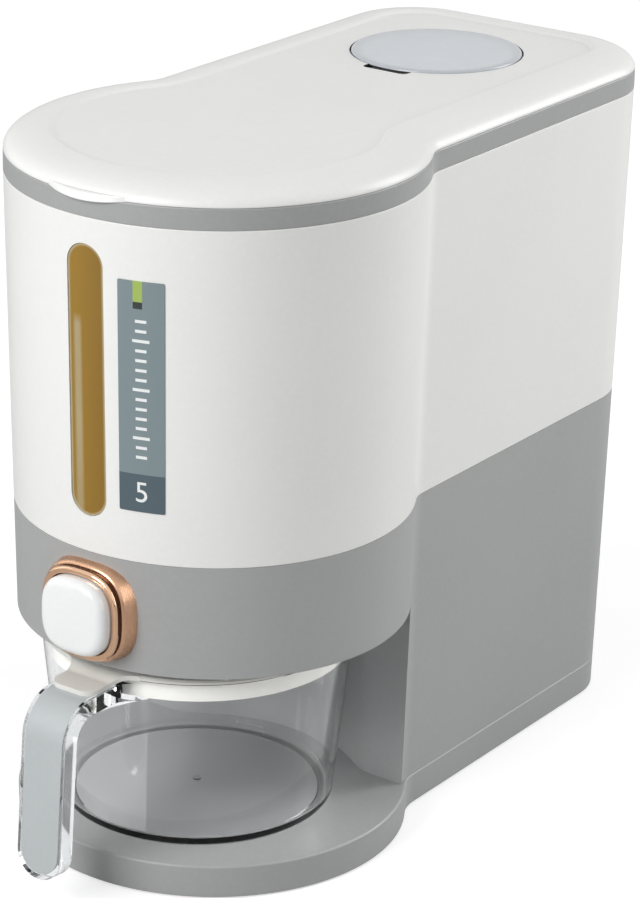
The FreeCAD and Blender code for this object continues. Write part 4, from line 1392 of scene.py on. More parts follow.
@dataclass(frozen=True)
class PrintedPlate(Assembly):
    """Thin film on the round front beside the window, with plain colour fields and a scale."""

    start: float = 16.54 * MM
    width: float = 20.87 * MM
    thickness: float = 0.4 * MM
    corner: float = 0.8 * MM
    columns: int = 30
    block_top: float = 17.0 * MM
    strip_drop: float = 9.0 * MM
    dark_drop: float = 12.0 * MM
    strip_columns: tuple[int, int] = (10, 16)
    ticks: int = 15
    tick_group: int = 5
    tick_widths: tuple[float, float] = (5.0 * MM, 7.6 * MM)
    tick_from: float = 24.0 * MM
    tick_to: float = 84.0 * MM
    tick_height: float = 1.3 * MM
    ink_proud: float = 0.03 * MM
    digit: str = "5"
    digit_size: float = 13.0 * MM

    def angle(self, distance: float) -> float:
        """Direction of a point along the round front, from straight ahead."""
        return distance / self.plan.front_radius

    def patch(
        self,
        bm: Mesh,
        start: float,
        width: float,
        heights: Sequence[float],
        proud: float,
        columns: int,
    ) -> list[bmesh.types.BMFace]:
        """Sheet that lies on the round front.

        Args:
            bm: Mesh to draw in.
            start: Distance of its first side from the middle.
            width: Width along the round front.
            heights: Heights of its rows.
            proud: How far it stands out of the wall.
            columns: Facets across.

        Returns:
            Its faces.
        """
        turn = self.angle(start) - math.pi / 2.0
        spots = []
        for height in heights:
            away = self.plan.radius_at(height) + proud
            across, back = away * math.cos(turn), away * math.sin(turn)
            spots.append(bm.verts.new((across, self.plan.axis_y + back, height)))
        wire = [bm.edges.new(pair) for pair in zip(spots, spots[1:])]
        before = set(bm.faces)
        around = {"cent": (0.0, self.plan.axis_y, 0.0), "axis": UP, "angle": self.angle(width)}
        bmesh.ops.spin(bm, geom=spots + wire, steps=columns, **around)
        faces = [face for face in bm.faces if face not in before]
        for face in faces:
            middle = face.calc_center_median()
            if face.normal.dot(middle - Vector((0.0, self.plan.axis_y, middle.z))) < 0.0:
                face.normal_flip()
        return faces

    @cached_property
    def span(self) -> tuple[float, float]:
        """Lowest and highest point of the film."""
        low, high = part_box("label_plate")
        return low.z, high.z

    def sheet(self) -> Thing:
        """Build the film with its colour fields.

        Returns:
            The piece's object.
        """
        low, high = self.span
        rows = (low, low + self.block_top, high - self.dark_drop, high - self.strip_drop, high)
        bm = bmesh.new()
        faces = self.patch(bm, self.start, self.width, rows, self.thickness, self.columns)
        for face in faces:
            face.material_index = self.ink_at(face.calc_center_median(), rows).value
        bmesh.ops.solidify(bm, geom=faces, thickness=self.thickness)
        corners = [edge for edge in creases(bm, lambda spot: True, 60.0) if self.crosses(edge)]
        soften(bm, corners, self.corner, 4)
        piece = Piece("printed_plate", Body.HOUSING, "label", "label_blue_grey", ("label_plate",))
        return piece.settle(bm, self.book, "label_green", "label_slate", "label_dark")

    def crosses(self, edge: bmesh.types.BMEdge) -> bool:
        """Tell whether an edge runs through the thickness at one of the four corners.

        Args:
            edge: Edge to test.

        Returns:
            True when it is.
        """
        low, high = self.span
        first, second = (vertex.co for vertex in edge.verts)
        level = agree(first.z, second.z, NEAR)
        short = agree((first - second).length, self.thickness, NEAR)
        return level and short and min(abs(first.z - low), abs(first.z - high)) < NEAR

    def ink_at(self, spot: Vector, rows: Sequence[float]) -> Ink:
        """Ink of the film at a point.

        Args:
            spot: Point to test.
            rows: Heights of the rows.

        Returns:
            The ink.
        """
        turn = math.atan2(spot.x, self.plan.axis_y - spot.y)
        column = (turn - self.angle(self.start)) / self.angle(self.width) * self.columns
        if spot.z < rows[1]:
            return Ink.BLOCK
        if not self.strip_columns[0] <= column < self.strip_columns[1] or spot.z < rows[2]:
            return Ink.FIELD
        return Ink.STRIP if spot.z > rows[3] else Ink.DARK

    def scale(self) -> Thing:
        """Build the white ticks of the plain scale.

        Returns:
            The piece's object.
        """
        low = self.span[0]
        proud = self.thickness + self.ink_proud
        bm = bmesh.new()
        step = (self.tick_to - self.tick_from) / (self.ticks - 1)
        for index in range(self.ticks):
            height = low + self.tick_from + index * step
            width = self.tick_widths[index % self.tick_group == self.tick_group // 2]
            heights = (height, height + self.tick_height)
            self.patch(bm, self.start + (self.width - width) / 2.0, width, heights, proud, 4)
        bmesh.ops.solidify(bm, geom=bm.faces[:], thickness=self.ink_proud)
        return Piece("scale_ticks", Body.HOUSING, *INK).settle(bm, self.book)

    def figure(self) -> Thing:
        """Build the plain figure on the dark block, laid on the round front.

        Returns:
            The piece's object.
        """
        low = self.span[0]
        letter = bpy.data.curves.new("figure_curve", "FONT")
        letter.body = self.digit
        letter.size = self.digit_size
        letter.extrude = self.ink_proud
        letter.align_x = letter.align_y = "CENTER"
        maker = shown("figure_curve", letter)
        seen = maker.evaluated_get(bpy.context.evaluated_depsgraph_get())
        bm = bmesh.new()
        bm.from_mesh(bpy.data.meshes.new_from_object(seen))
        bpy.data.objects.remove(maker)
        bmesh.ops.remove_doubles(bm, verts=bm.verts[:], dist=1e-6)
        middle = self.angle(self.start + self.width / 2.0)
        for vertex in bm.verts:
            height = low + self.block_top / 2.0 + vertex.co.y
            away = self.plan.radius_at(height) + self.thickness + vertex.co.z
            turn = middle + vertex.co.x / away
            across, ahead = away * math.sin(turn), away * math.cos(turn)
            vertex.co = Vector((across, self.plan.axis_y - ahead, height))
        return Piece("plain_figure", Body.HOUSING, *INK).settle(bm, self.book)

    def build(self) -> list[Thing]:
        """Build the printed plate."""
        return [self.sheet(), self.scale(), self.figure()]


# ---- rim, lid and moisture cap ------------------------------------------------------------
@dataclass(frozen=True)
class RimBand(Assembly):
    """Grey band round the mouth of the container."""

    width: float = 4.0 * MM
    tongue: tuple[float, float] = (2.7 * MM, 4.2 * MM)
    tongue_drop: float = 6.0 * MM
    foot_round: float = 0.5 * MM
    top_round: float = 0.7 * MM

    def band(self) -> Thing:
        """Build the band with the tongue that grips the container.

        Returns:
            The piece's object.
        """
        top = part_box("rim_band")[1].z
        low, (near, far) = self.plan.rim, self.tongue
        foot = low - self.tongue_drop
        stations = (
            *((low, 0.0), (top, 0.0), (top, self.width), (low, self.width)),
            *((low, far), (foot, far), (foot, near), (low, near)),
        )
        bm = self.plan.tube(stations, ((0, self.foot_round), (1, self.top_round)))
        piece = Piece("rim_band_ring", Body.HOUSING, "grey_rim", "rim_grey_plastic", ("rim_band",))
        return piece.settle(bm, self.book)

    def build(self) -> list[Thing]:
        """Build the band."""
        return [self.band()]


@dataclass(frozen=True)
class Lid(Assembly):
    """White lid: crowned edge, flat panel, round seat for the cap and a lip at the front."""

    crown_width: float = 20.0 * MM
    crown_rise: float = 9.0 * MM
    panel_drop: float = 1.5 * MM
    panel_width: float = 21.5 * MM
    wall: float = 2.4 * MM
    skirt_inset: float = 4.4 * MM
    groove_inset: float = 5.4 * MM
    skirt_back: float = 6.6 * MM
    skirt_drop: float = 8.0 * MM
    groove: tuple[float, float] = (5.6 * MM, 2.4 * MM)
    crown_steps: int = 12
    crest_round: float = 1.3 * MM
    foot_round: float = 0.8 * MM
    edge_round: float = 0.5 * MM
    seat_round: float = 0.5 * MM
    cap_inset: float = 80.0 * MM
    seat_radius: float = 40.3 * MM
    step_radius: float = 35.2 * MM
    hole_radius: float = 30.9 * MM
    seat_depth: float = 2.2 * MM
    step_depth: float = 3.7 * MM
    boss_depth: float = 6.7 * MM
    notch_half: float = 12.0 * MM
    notch_length: float = 7.5 * MM
    notch_depth: float = 3.2 * MM
    notch_round: float = 3.0 * MM
    notch_wall: float = 2.4 * MM
    notch_under: float = 3.6 * MM
    notch_sink: float = 0.6 * MM
    boss_sink: float = 1.2 * MM
    tool_rise: float = 3.0 * MM
    seat_margin: float = 6.0 * MM
    seat_steps: int = 144
    lip_angle: float = math.radians(12.4)
    lip_span: tuple[float, float] = (1.8 * MM, 2.0 * MM)
    lip_reach: tuple[float, float] = (3.0 * MM, 1.5 * MM)
    lip_depth: float = 3.0 * MM
    lip_lap: float = 0.2 * MM
    lip_round: float = 0.9 * MM
    lip_least: float = 0.04
    lip_steps: int = 24

    @cached_property
    def foot(self) -> float:
        """Height of the seam between the lid and the band."""
        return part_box("rim_band")[1].z

    @cached_property
    def panel(self) -> float:
        """Height of the flat panel."""
        return self.foot + self.crown_rise - self.panel_drop

    @cached_property
    def cap_y(self) -> float:
        """Place of the axis of the cap."""
        return self.plan.axis_y + self.plan.rear_reach - self.cap_inset

    @cached_property
    def notch_front(self) -> float:
        """Place of the front of the finger notch."""
        return self.cap_y - self.seat_radius - self.notch_length + self.notch_under

    def from_cap(self, spot: Vector) -> float:
        """Distance of a point from the axis of the cap."""
        return away_from(self.cap_y, spot)

    def crown(self) -> Mesh:
        """Cover without its holes.

        Returns:
            The closed mesh.
        """
        foot, inset, deep = self.foot, self.skirt_inset, self.groove_inset
        under = foot + self.crown_rise - self.wall
        low, high = self.groove
        toe, back = foot - self.skirt_drop, self.skirt_back
        stations = [
            *((under - self.panel_drop, self.crown_width), (foot + self.panel_drop, back)),
            *((toe, back), (toe, inset), (foot - low, inset), (foot - low, deep)),
            *((foot - high, deep), (foot - high, inset), (foot, inset)),
        ]
        edge = len(stations)
        for step in range(self.crown_steps + 1):
            turn = math.pi / 2.0 * step / self.crown_steps
            rise, inward = math.sin(turn), 1.0 - math.cos(turn)
            stations.append((foot + self.crown_rise * rise, self.crown_width * inward))
        stations.append((self.panel, self.panel_width))
        bm = bmesh.new()
        loops = self.plan.stack(bm, stations)
        capped(bm, loops)
        soften(bm, loops[edge], self.edge_round)
        soften(bm, loops[-1], self.foot_round)
        soften(bm, loops[-2], self.crest_round)
        return bm

    def notch(self) -> Mesh:
        """Finger notch in front of the cap, as a closed block.

        Returns:
            The closed mesh.
        """
        front, half = self.notch_front, self.notch_half
        low = (-half, front, self.panel - self.notch_depth)
        bm = block(low, (half, front + self.notch_length, self.panel + self.tool_rise - MM))
        upright = [
            edge
            for edge in bm.edges
            if not agree(*(end.co.z for end in edge.verts), MM) and edge.verts[0].co.y < front + MM
        ]
        soften(bm, upright, self.notch_round, 6)
        return bm

    def boss(self) -> Mesh:
        """Material below the notch.

        Returns:
            The closed mesh.
        """
        front, wall = self.notch_front, self.notch_wall
        half, foot = self.notch_half + wall, self.panel - self.notch_depth - wall
        high = (half, front + self.notch_length, self.panel - 0.6 * self.wall)
        return block((-half, front - wall, foot), high)

    def cover(self) -> Thing:
        """Build the cover with its seat, hole and notch.

        Returns:
            The piece's object.
        """
        panel, above = self.panel, self.panel + self.tool_rise
        bottom = panel - self.boss_depth
        boss = post(self.seat_radius + SLACK, self.cap_y, bottom, panel - self.boss_sink)
        bm = combined(combined(self.crown(), Join.ADD, boss), Join.ADD, self.boss())
        for radius, low in (
            (self.hole_radius, bottom - MM),
            (self.step_radius, panel - self.step_depth),
            (self.seat_radius, panel - self.seat_depth),
        ):
            bm = combined(bm, Join.CUT, post(radius, self.cap_y, low, above, self.seat_steps))
        bm = combined(bm, Join.CUT, self.notch())
        soften_where(bm, self.on_seat, self.seat_round, 4)
        # Painted shadow: near-black finish in the finger notch and on the seat wall round the cap.
        paint(bm, self.in_painted_shadow)
        return Piece("lid_cover", Body.LID, *WHITE, ("lid",)).settle(bm, self.book, PAINTED_SHADOW)

    def in_painted_shadow(self, spot: Vector) -> bool:
        """Tell whether a point is in the finger notch or on the wall round the cap, where shadow is
        painted.

        Args:
            spot: Point to test.

        Returns:
            True when it is.
        """
        panel, front = self.panel, self.notch_front - SLACK
        if agree(self.from_cap(spot), self.seat_radius, SLACK):
            if panel - self.seat_depth < spot.z < panel:
                return True
        if not front < spot.y < front + self.notch_length + MM:
            return False
        deep = panel - self.notch_depth - SLACK < spot.z < panel - self.notch_sink
        return deep and abs(spot.x) < self.notch_half + SLACK

    def on_seat(self, spot: Vector) -> bool:
        """Tell whether a point is on the edge round the cap's seat and notch."""
        edge = self.seat_radius + self.notch_length + self.seat_margin
        return agree(spot.z, self.panel, HAIR / 2.0) and self.from_cap(spot) < edge

    def lip(self) -> Thing:
        """Build the finger lip at the front of the lid.

        Returns:
            The piece's object.
        """
        below, above = self.lip_span
        low_reach, high_reach = self.lip_reach
        foot, front = self.foot, self.plan.front_radius
        inner, outer = front - self.lip_depth, front + self.lip_lap
        profile = (
            *((front + low_reach, foot - below), (front + high_reach, foot + above)),
            *((inner, foot + above), (inner, foot + NEAR)),
            *((outer, foot + NEAR), (outer, foot - below)),
        )
        start = -math.pi / 2.0 - self.lip_angle
        cos, sin = math.cos(start), math.sin(start)
        centre = Vector((0.0, self.plan.axis_y, 0.0))
        bm = bmesh.new()
        spots = [bm.verts.new(centre + Vector((r * cos, r * sin, z))) for r, z in profile]
        wire = [bm.edges.new(pair) for pair in zip(spots, [*spots[1:], spots[0]])]
        around = {"cent": centre, "axis": UP, "angle": 2.0 * self.lip_angle}
        bmesh.ops.spin(bm, geom=spots + wire, steps=self.lip_steps, **around)
        ends = [edge for edge in bm.edges if len(edge.link_faces) < 2]
        bmesh.ops.holes_fill(bm, edges=ends, sides=0)
        outwards(bm)
        limit = front + high_reach - self.lip_lap
        soften_where(bm, lambda spot: self.away(spot) > limit, self.lip_round, 4, 30.0)
        self.taper(bm, front - self.lip_lap)
        return Piece("lid_finger_lip", Body.LID, *WHITE).settle(bm, self.book)

    def taper(self, bm: Mesh, root: float) -> None:
        """Thin the lip to nothing towards both ends.

        Args:
            bm: Mesh of the lip.
            root: Radius within which nothing moves.
        """
        for vertex in bm.verts:
            across, ahead = vertex.co.x, self.plan.axis_y - vertex.co.y
            away, turn = math.hypot(across, ahead), math.atan2(across, ahead)
            share = max(self.lip_least, 1.0 - (turn / self.lip_angle) ** 2)
            if away > root:
                away = root + (away - root) * share
            if vertex.co.z < self.foot:
                vertex.co.z = self.foot + (vertex.co.z - self.foot) * share
            vertex.co.x = away * math.sin(turn)
            vertex.co.y = self.plan.axis_y - away * math.cos(turn)

    def build(self) -> list[Thing]:
        """Build the lid."""
        return [self.cover(), self.lip()]


@dataclass(frozen=True)
class MoistureCap(Assembly):
    """Frosted round cap over the drying agent."""

    lid: Lid
    radius: float = 39.7 * MM
    dish: float = 0.35 * MM
    edge_round: float = 1.2 * MM
    gap_radius: float = 35.8 * MM
    gap_height: float = 1.3 * MM
    ring_radius: float = 28.2 * MM
    ring_wall: float = 1.6 * MM
    gap_over: float = 0.5 * MM
    line: Pairs = ((0.0, 1.0), (0.35, 0.9), (0.7, 0.4), (0.9, 0.0), (1.0, 0.0))

    def cap(self) -> Thing:
        """Build the cap, slightly dished, with the ring below it.

        Returns:
            The piece's object.
        """
        low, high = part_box("moisture_cap")
        foot = self.lid.panel - self.lid.seat_depth
        step, edge, ring = foot + self.gap_height, self.gap_radius, self.ring_radius
        inner = ring - self.ring_wall
        profile = (
            *((share * self.radius, high.z - sunk * self.dish) for share, sunk in self.line),
            *((self.radius, step), (edge, step), (edge, foot), (ring, foot)),
            *((ring, low.z), (inner, low.z), (inner, foot), (0.0, foot)),
        )
        bm = turned(profile, self.lid.cap_y, self.lid.seat_steps)
        soften_where(bm, lambda spot: self.on_edge(spot, high.z), self.edge_round, 5)
        # Painted shadow: near-black finish in the gap under the cap's edge.
        paint(bm, lambda spot: self.in_painted_shadow(spot, foot))
        piece = Piece(
            "moisture_cap_disc", Body.CAP, "smoky_clear", "frosted_cap_plastic", ("moisture_cap",)
        )
        return piece.settle(bm, self.book, PAINTED_SHADOW)

    def in_painted_shadow(self, spot: Vector, foot: float) -> bool:
        """Tell whether a point is in the gap that the cap leaves above its seat, where shadow is
        painted.
        """
        level = foot - SLACK < spot.z < foot + self.gap_height + self.gap_over
        return level and self.lid.from_cap(spot) > self.gap_radius - SLACK

    def on_edge(self, spot: Vector, height: float) -> bool:
        """Tell whether a point is on the outer edge at a height."""
        return self.lid.from_cap(spot) > self.radius - NEAR and agree(spot.z, height)

    def build(self) -> list[Thing]:
        """Build the cap."""
        return [self.cap()]


# ---- push button --------------------------------------------------------------------------
@dataclass(frozen=True)
class PushButton(Assembly):
    """Soft square button in a stepped frame."""

    square: SoftSquare
    base_ring: Pairs = ((84.0, 23.6), (93.0, 21.7), (93.0, 17.75), (84.0, 17.75))
    front_ring: Pairs = (
        *((84.0, 17.75), (84.0, 19.35), (92.9, 19.35), (92.9, 19.9)),
        *((93.9, 19.9), (94.4, 20.5), (96.6, 20.5), (96.6, 17.75)),
    )
    base_rounds: Rounds = ((1, 1.3 * MM),)
    front_rounds: Rounds = ((6, 1.3 * MM), (5, 0.3 * MM), (7, 0.5 * MM))
    groove: float = 95.0 * MM
    cap_half: float = 17.3 * MM
    cap_inner: float = 14.9 * MM
    cap_round: float = 4.0 * MM
    cap_wall: float = 2.65 * MM
    travel: float = 6.0 * MM
    crown: Pairs = ((0.0, 13.1), (0.14, 11.0), (0.26, 8.0), (0.34, 4.5), (0.36, 1.6))

    def ring(self, section: Pairs, rounds: Rounds) -> Mesh:
        """Closed soft square ring with a section in millimetres."""
        return self.square.tube([(reach * MM, half * MM) for reach, half in section], rounds)

    def frame_base(self) -> Thing:
        """Build the wide rear step of the frame, fitted to the round body.

        Returns:
            The piece's object.
        """
        low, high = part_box("lower_body")
        bm = self.ring(self.base_ring, self.base_rounds)
        bm = combined(bm, Join.CUT, self.plan.solid(low.z, high.z))
        piece = Piece("button_frame_step", Body.HOUSING, "rose_gold", "rose_gold_step")
        return piece.settle(bm, self.book)

    def frame_front(self) -> Thing:
        """Build the narrow front step of the frame and its spigot, with painted shade behind the
        groove.

        Returns:
            The piece's object.
        """
        bm = self.ring(self.front_ring, self.front_rounds)
        groove = self.plan.axis_y - self.groove
        # Painted shade: faces behind the groove take a near-black copy of the rose gold.
        paint(bm, lambda spot: spot.y > groove)
        piece = Piece(
            "button_frame_ring", Body.HOUSING, "rose_gold", "rose_gold_ring", ("button_bezel",)
        )
        return piece.settle(bm, self.book, "rose_gold_painted_shade")

    def pad(self) -> Thing:
        """Build the button as a cup with a crowned front.

        Returns:
            The piece's object.
        """
        low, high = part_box("button_cap")
        face = self.plan.axis_y - low.y - self.crown[-1][0] * MM
        back = self.plan.axis_y - high.y
        inner, half = self.cap_inner, self.cap_half
        stations = [(face - self.cap_wall, inner), (back, inner), (back, half), (face, half)]
        stations += [(face + rise * MM, spread * MM) for rise, spread in self.crown]
        bm = bmesh.new()
        loops = self.square.stack(bm, stations)
        capped(bm, loops)
        soften(bm, loops[3], self.cap_round, 7)
        piece = Piece(
            "button_pad", Body.BUTTON, "white_button", "gloss_white_plastic", ("button_cap",)
        )
        return piece.settle(bm, self.book)

    def spring(self) -> Thing:
        """Build the return spring on a mesh of its own.

        Returns:
            The piece's object.
        """
        bm = bmesh.new()
        bm.from_mesh(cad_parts["return_spring"].data)
        piece = Piece(
            "return_spring_coil", Body.HOUSING, "steel", "plain_steel", ("return_spring",)
        )
        coil = piece.settle(bm, self.book)
        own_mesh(coil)
        return coil

    def build(self) -> list[Thing]:
        """Build the frame, the button and its spring."""
        return [self.frame_base(), self.frame_front(), self.pad(), self.spring()]


# ---- measuring cup ------------------------------------------------------------------------
@dataclass(frozen=True)
class MeasuringCup(Assembly):
    """Pull-out cup with its bent handle, pale insert and cream collar."""

    centre: float = -12.0 * MM
    base_radius: float = 61.5 * MM
    rim_radius: float = 70.0 * MM
    wall: float = 2.4 * MM
    floor: float = 3.5 * MM
    base_round: float = 3.0 * MM
    recess: float = 0.6 * MM
    recess_radius: float = 55.0 * MM
    mark_radius: float = 1.8 * MM
    handle_half: float = 11.8 * MM
    handle_thickness: float = 8.2 * MM
    handle_top_drop: float = 1.8 * MM
    bend_radius: float = 18.5 * MM
    bend_reach: float = 102.0 * MM
    lean: float = 0.075
    root_flare: float = 12.0 * MM
    insert_half: float = 10.2 * MM
    insert_thickness: float = 1.3 * MM
    insert_start: float = 84.0 * MM
    insert_margin: float = 2.6 * MM
    pocket_gap: float = 0.05 * MM
    skirt_drop: float = 8.5 * MM
    collar_inner: float = 64.5 * MM
    collar_rise: float = 2.6 * MM
    collar_over: float = 1.0 * MM
    gap_height: float = 0.8 * MM
    gap_depth: float = 1.1 * MM
    tab_corner: float = 6.5 * MM
    tab_half: float = 11.6 * MM
    tab_reach: float = 103.2 * MM
    tab_thickness: float = 2.2 * MM
    tab_drop: float = 2.2 * MM
    tab_slope: tuple[float, float] = (83.0 * MM, 91.0 * MM)
    facets: int = 160
    bend_steps: int = 14
    flare_steps: int = 10
    slope_rows: int = 8
    mark_steps: int = 32
    floor_round: float = 2.0 * MM
    rim_round: float = 0.5 * MM
    mark_round: float = 0.25 * MM
    grip_round: float = 1.1 * MM
    insert_round: float = 0.3 * MM
    collar_round: float = 0.6 * MM
    collar_edge: float = 0.8 * MM
    recess_slope: float = 0.6 * MM
    root_lap: float = 6.0 * MM
    arm_start: float = 90.0 * MM
    handle_drop: float = 0.2 * MM
    grip_from: float = 3.0 * MM
    pocket_over: float = 1.0 * MM
    end_share: float = 0.985
    hollow_rise: float = 5.0 * MM
    hollow_wall: float = 2.0 * MM
    skirt_gap: float = 0.15 * MM
    skirt_wall: float = 1.6 * MM
    well: tuple[float, float] = (0.5 * MM, 9.0 * MM)
    tip_margin: float = 0.3 * MM
    ring_margin: float = 1.2 * MM

    @cached_property
    def axis_y(self) -> float:
        """Place of the axis of the cup."""
        return self.plan.axis_y + self.centre

    @cached_property
    def foot(self) -> float:
        """Height of the bottom of the cup."""
        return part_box("measuring_cup")[0].z

    @cached_property
    def rim(self) -> float:
        """Height of the rim of the cup."""
        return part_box("measuring_cup")[1].z

    @cached_property
    def handle_top(self) -> float:
        """Height of the top of the handle."""
        return self.rim - self.handle_top_drop

    @cached_property
    def handle_foot(self) -> float:
        """Height of the lower end of the handle."""
        return self.foot - self.handle_drop

    @cached_property
    def collar_radius(self) -> float:
        """Outer radius of the collar."""
        return self.rim_radius + self.collar_over

    def radius_at(self, height: float) -> float:
        """Outer radius of the cup at a height."""
        share = (height - self.foot) / (self.rim - self.foot)
        return self.base_radius + share * (self.rim_radius - self.base_radius)

    def bowl(self) -> Mesh:
        """Closed mesh of the round cup.

        Returns:
            The closed mesh.
        """
        foot, rim = self.foot, self.rim
        floor = foot + self.floor
        profile = (
            (0.0, foot + self.recess),
            (self.recess_radius, foot + self.recess),
            (self.recess_radius + self.recess_slope, foot),
            (self.base_radius, foot),
            (self.rim_radius, rim),
            (self.rim_radius - self.wall, rim),
            (self.radius_at(floor) - self.wall, floor),
            (0.0, floor),
        )
        bm = turned(profile, self.axis_y, self.facets)
        inner = self.radius_at(floor) - self.wall - SLACK
        soften_where(bm, self.beyond(foot, self.base_radius - SLACK), self.base_round, 8)
        soften_where(bm, self.beyond(floor, inner), self.floor_round, 5)
        soften_where(bm, self.beyond(rim, 0.0), self.rim_round)
        return bm

    def away(self, spot: Vector) -> float:
        """Distance of a point from the axis of the cup."""
        return away_from(self.axis_y, spot)

    def beyond(self, height: float, least: float) -> Test:
        """Test that a point is at a height and further than least from the axis."""
        return lambda spot: agree(spot.z, height) and self.away(spot) > least

    def strip(self, half: float, shrink: float, start: float, foot: float, depth: float) -> Mesh:
        """Bent strip that follows the outside of the handle.

        Args:
            half: Half of its width.
            shrink: How far its outer face lies below the outside of the handle.
            start: Reach at which its level part begins.
            foot: Height of its lower end.
            depth: Its thickness.

        Returns:
            The closed mesh.
        """
        fore = self.plan.axis_y - self.bend_reach
        bend = Vector((0.0, fore, self.handle_top - self.bend_radius))
        outer, inner = self.bend_radius - shrink, self.bend_radius - shrink - depth
        lean = math.atan(self.lean)
        sweep = math.pi / 2.0 - lean
        down = Vector((0.0, -math.sin(lean), -math.cos(lean)))
        bm = bmesh.new()
        pen = Pen(bm, (-half, self.plan.axis_y - start, bend.z + outer), SIDEWAYS)
        pen.pull((-half, bend.y, bend.z + outer))
        pen.turn(bend, sweep, self.bend_steps)
        tip = pen.tip.co.copy()
        end = tip + down * ((tip.z - foot) / math.cos(lean))
        inward = Vector((0.0, math.cos(lean), -math.sin(lean))) * depth
        pen.pull(end, end + inward, tip + inward)
        pen.turn(bend, -sweep, self.bend_steps)
        pen.pull((-half, self.plan.axis_y - start, bend.z + inner))
        return raised(bm, pen.close(), SIDEWAYS * (2.0 * half))

    def tongue(self, half: float, reach: float, low: float, high: float, circle: float) -> Mesh:
        """Closed plate that widens smoothly into a circle round the cup.

        Args:
            half: Half of its width.
            reach: Distance of its far end from the front axis.
            low: Lower height.
            high: Upper height.
            circle: Radius of the circle it grows out of.

        Returns:
            The closed mesh.
        """
        flare, steps = self.root_flare, self.flare_steps
        side = half + flare
        rise = math.sqrt((circle + flare) ** 2 - side**2)
        lean = math.atan2(rise, side)
        fillet_y = self.axis_y - rise
        far = self.plan.axis_y - reach
        start, edge = (
            Vector((away * math.cos(lean), self.axis_y - away * math.sin(lean), low))
            for away in (circle - self.root_lap, circle)
        )
        bm = bmesh.new()
        pen = Pen(bm, start)
        pen.pull(edge)
        pen.turn((side, fillet_y, low), lean, steps)
        pen.pull((half, far, low), (-half, far, low), (-half, fillet_y, low))
        pen.turn((-side, fillet_y, low), lean, steps)
        pen.pull((-start.x, start.y, low))
        return raised(bm, pen.close(), UP * (high - low))

    def vessel(self) -> Thing:
        """Build the cup and its handle as one clear moulding.

        Returns:
            The piece's object.
        """
        top, gap = self.handle_top, self.pocket_gap
        thick, root = self.handle_thickness, self.rim_radius - MM
        level = self.tongue(self.handle_half, self.bend_reach, top - thick, top, root)
        arm = self.strip(self.handle_half, 0.0, self.arm_start, self.handle_foot, thick)
        self.round_arm(arm)
        grip = combined(level, Join.ADD, arm)
        root = self.rim_radius + self.hollow_wall
        soften_where(grip, lambda spot: self.away(spot) > root, self.grip_round, 4, 40.0)
        grip = combined(grip, Join.CUT, turned(self.inside(), self.axis_y, self.facets))
        pocket = self.strip(
            self.insert_half + gap,
            -self.pocket_over,
            self.insert_start - gap,
            self.handle_foot + self.insert_margin - gap,
            self.insert_thickness + self.pocket_over + gap,
        )
        self.round_arm(pocket)
        bm = combined(self.bowl(), Join.ADD, combined(grip, Join.CUT, pocket))
        # Painted shade: the handle takes a darker grey copy of the clear plastic.
        paint(bm, lambda spot: self.away(spot) > self.rim_radius + self.grip_from)
        piece = Piece("cup_and_handle", Body.CUP, *CLEAR, ("measuring_cup", "cup_handle"))
        return piece.settle(bm, self.book, "clear_grip_painted_shade")

    def inside(self) -> Pairs:
        """Profile that removes whatever reaches through the cup's wall.

        Returns:
            Points as (radius, height).
        """
        low, top = self.foot, self.rim + self.hollow_rise
        near, far = (self.radius_at(height) - self.hollow_wall for height in (low, top))
        return ((0.0, low), (near, low), (far, top), (0.0, top))

    def round_arm(self, arm: Mesh) -> None:
        """Round the lower end of a strip of the handle to a half circle.

        Args:
            arm: Mesh of the strip.
        """
        half = max(vertex.co.x for vertex in arm.verts)
        foot = min(vertex.co.z for vertex in arm.verts)
        ends = creases(arm, lambda spot: spot.z < foot + 2.0 * MM, 50.0)
        corners = [edge for edge in ends if agree(*(end.co.x for end in edge.verts), SLACK)]
        soften(arm, corners, self.end_share * half, 12)

    def insert(self) -> Thing:
        """Build the pale strip let into the handle.

        Returns:
            The piece's object.
        """
        foot = self.handle_foot + self.insert_margin
        bm = self.strip(self.insert_half, 0.0, self.insert_start, foot, self.insert_thickness)
        self.round_arm(bm)
        soften_where(bm, lambda spot: True, self.insert_round, least=40.0)
        piece = Piece(
            "handle_pale_strip", Body.CUP, "insert_grey", "pale_grey_insert", ("handle_insert",)
        )
        return piece.settle(bm, self.book)

    def mark(self) -> Thing:
        """Build the small gate mark in the middle of the floor.

        Returns:
            The piece's object.
        """
        floor = self.foot + self.floor
        low, high = floor - 2.0 * SLACK, floor + self.recess
        bm = post(self.mark_radius, self.axis_y, low, high, self.mark_steps)
        soften_where(bm, lambda spot: spot.z > floor, self.mark_round)
        return Piece("cup_gate_mark", Body.CUP, *CLEAR).settle(bm, self.book)

    def ring(self) -> Mesh:
        """Closed mesh of the collar's ring.

        Returns:
            The closed mesh.
        """
        rim, chamfer, middle = self.rim, self.collar_edge, self.collar_inner
        skirt, flat, step = rim - self.skirt_drop, rim + self.collar_rise, rim + self.gap_height
        low = self.radius_at(skirt) - self.wall - self.skirt_gap
        high = self.rim_radius - self.wall - self.skirt_gap
        outer = self.collar_radius
        inner = outer - self.gap_depth
        profile = (
            *((middle, rim), (high - self.skirt_wall, rim), (low - self.skirt_wall, skirt)),
            *((low, skirt), (high, rim), (inner, rim), (inner, step), (outer, step)),
            *((outer, flat - chamfer), (outer - chamfer, flat), (middle, flat)),
        )
        return turned(profile, self.axis_y, self.facets)

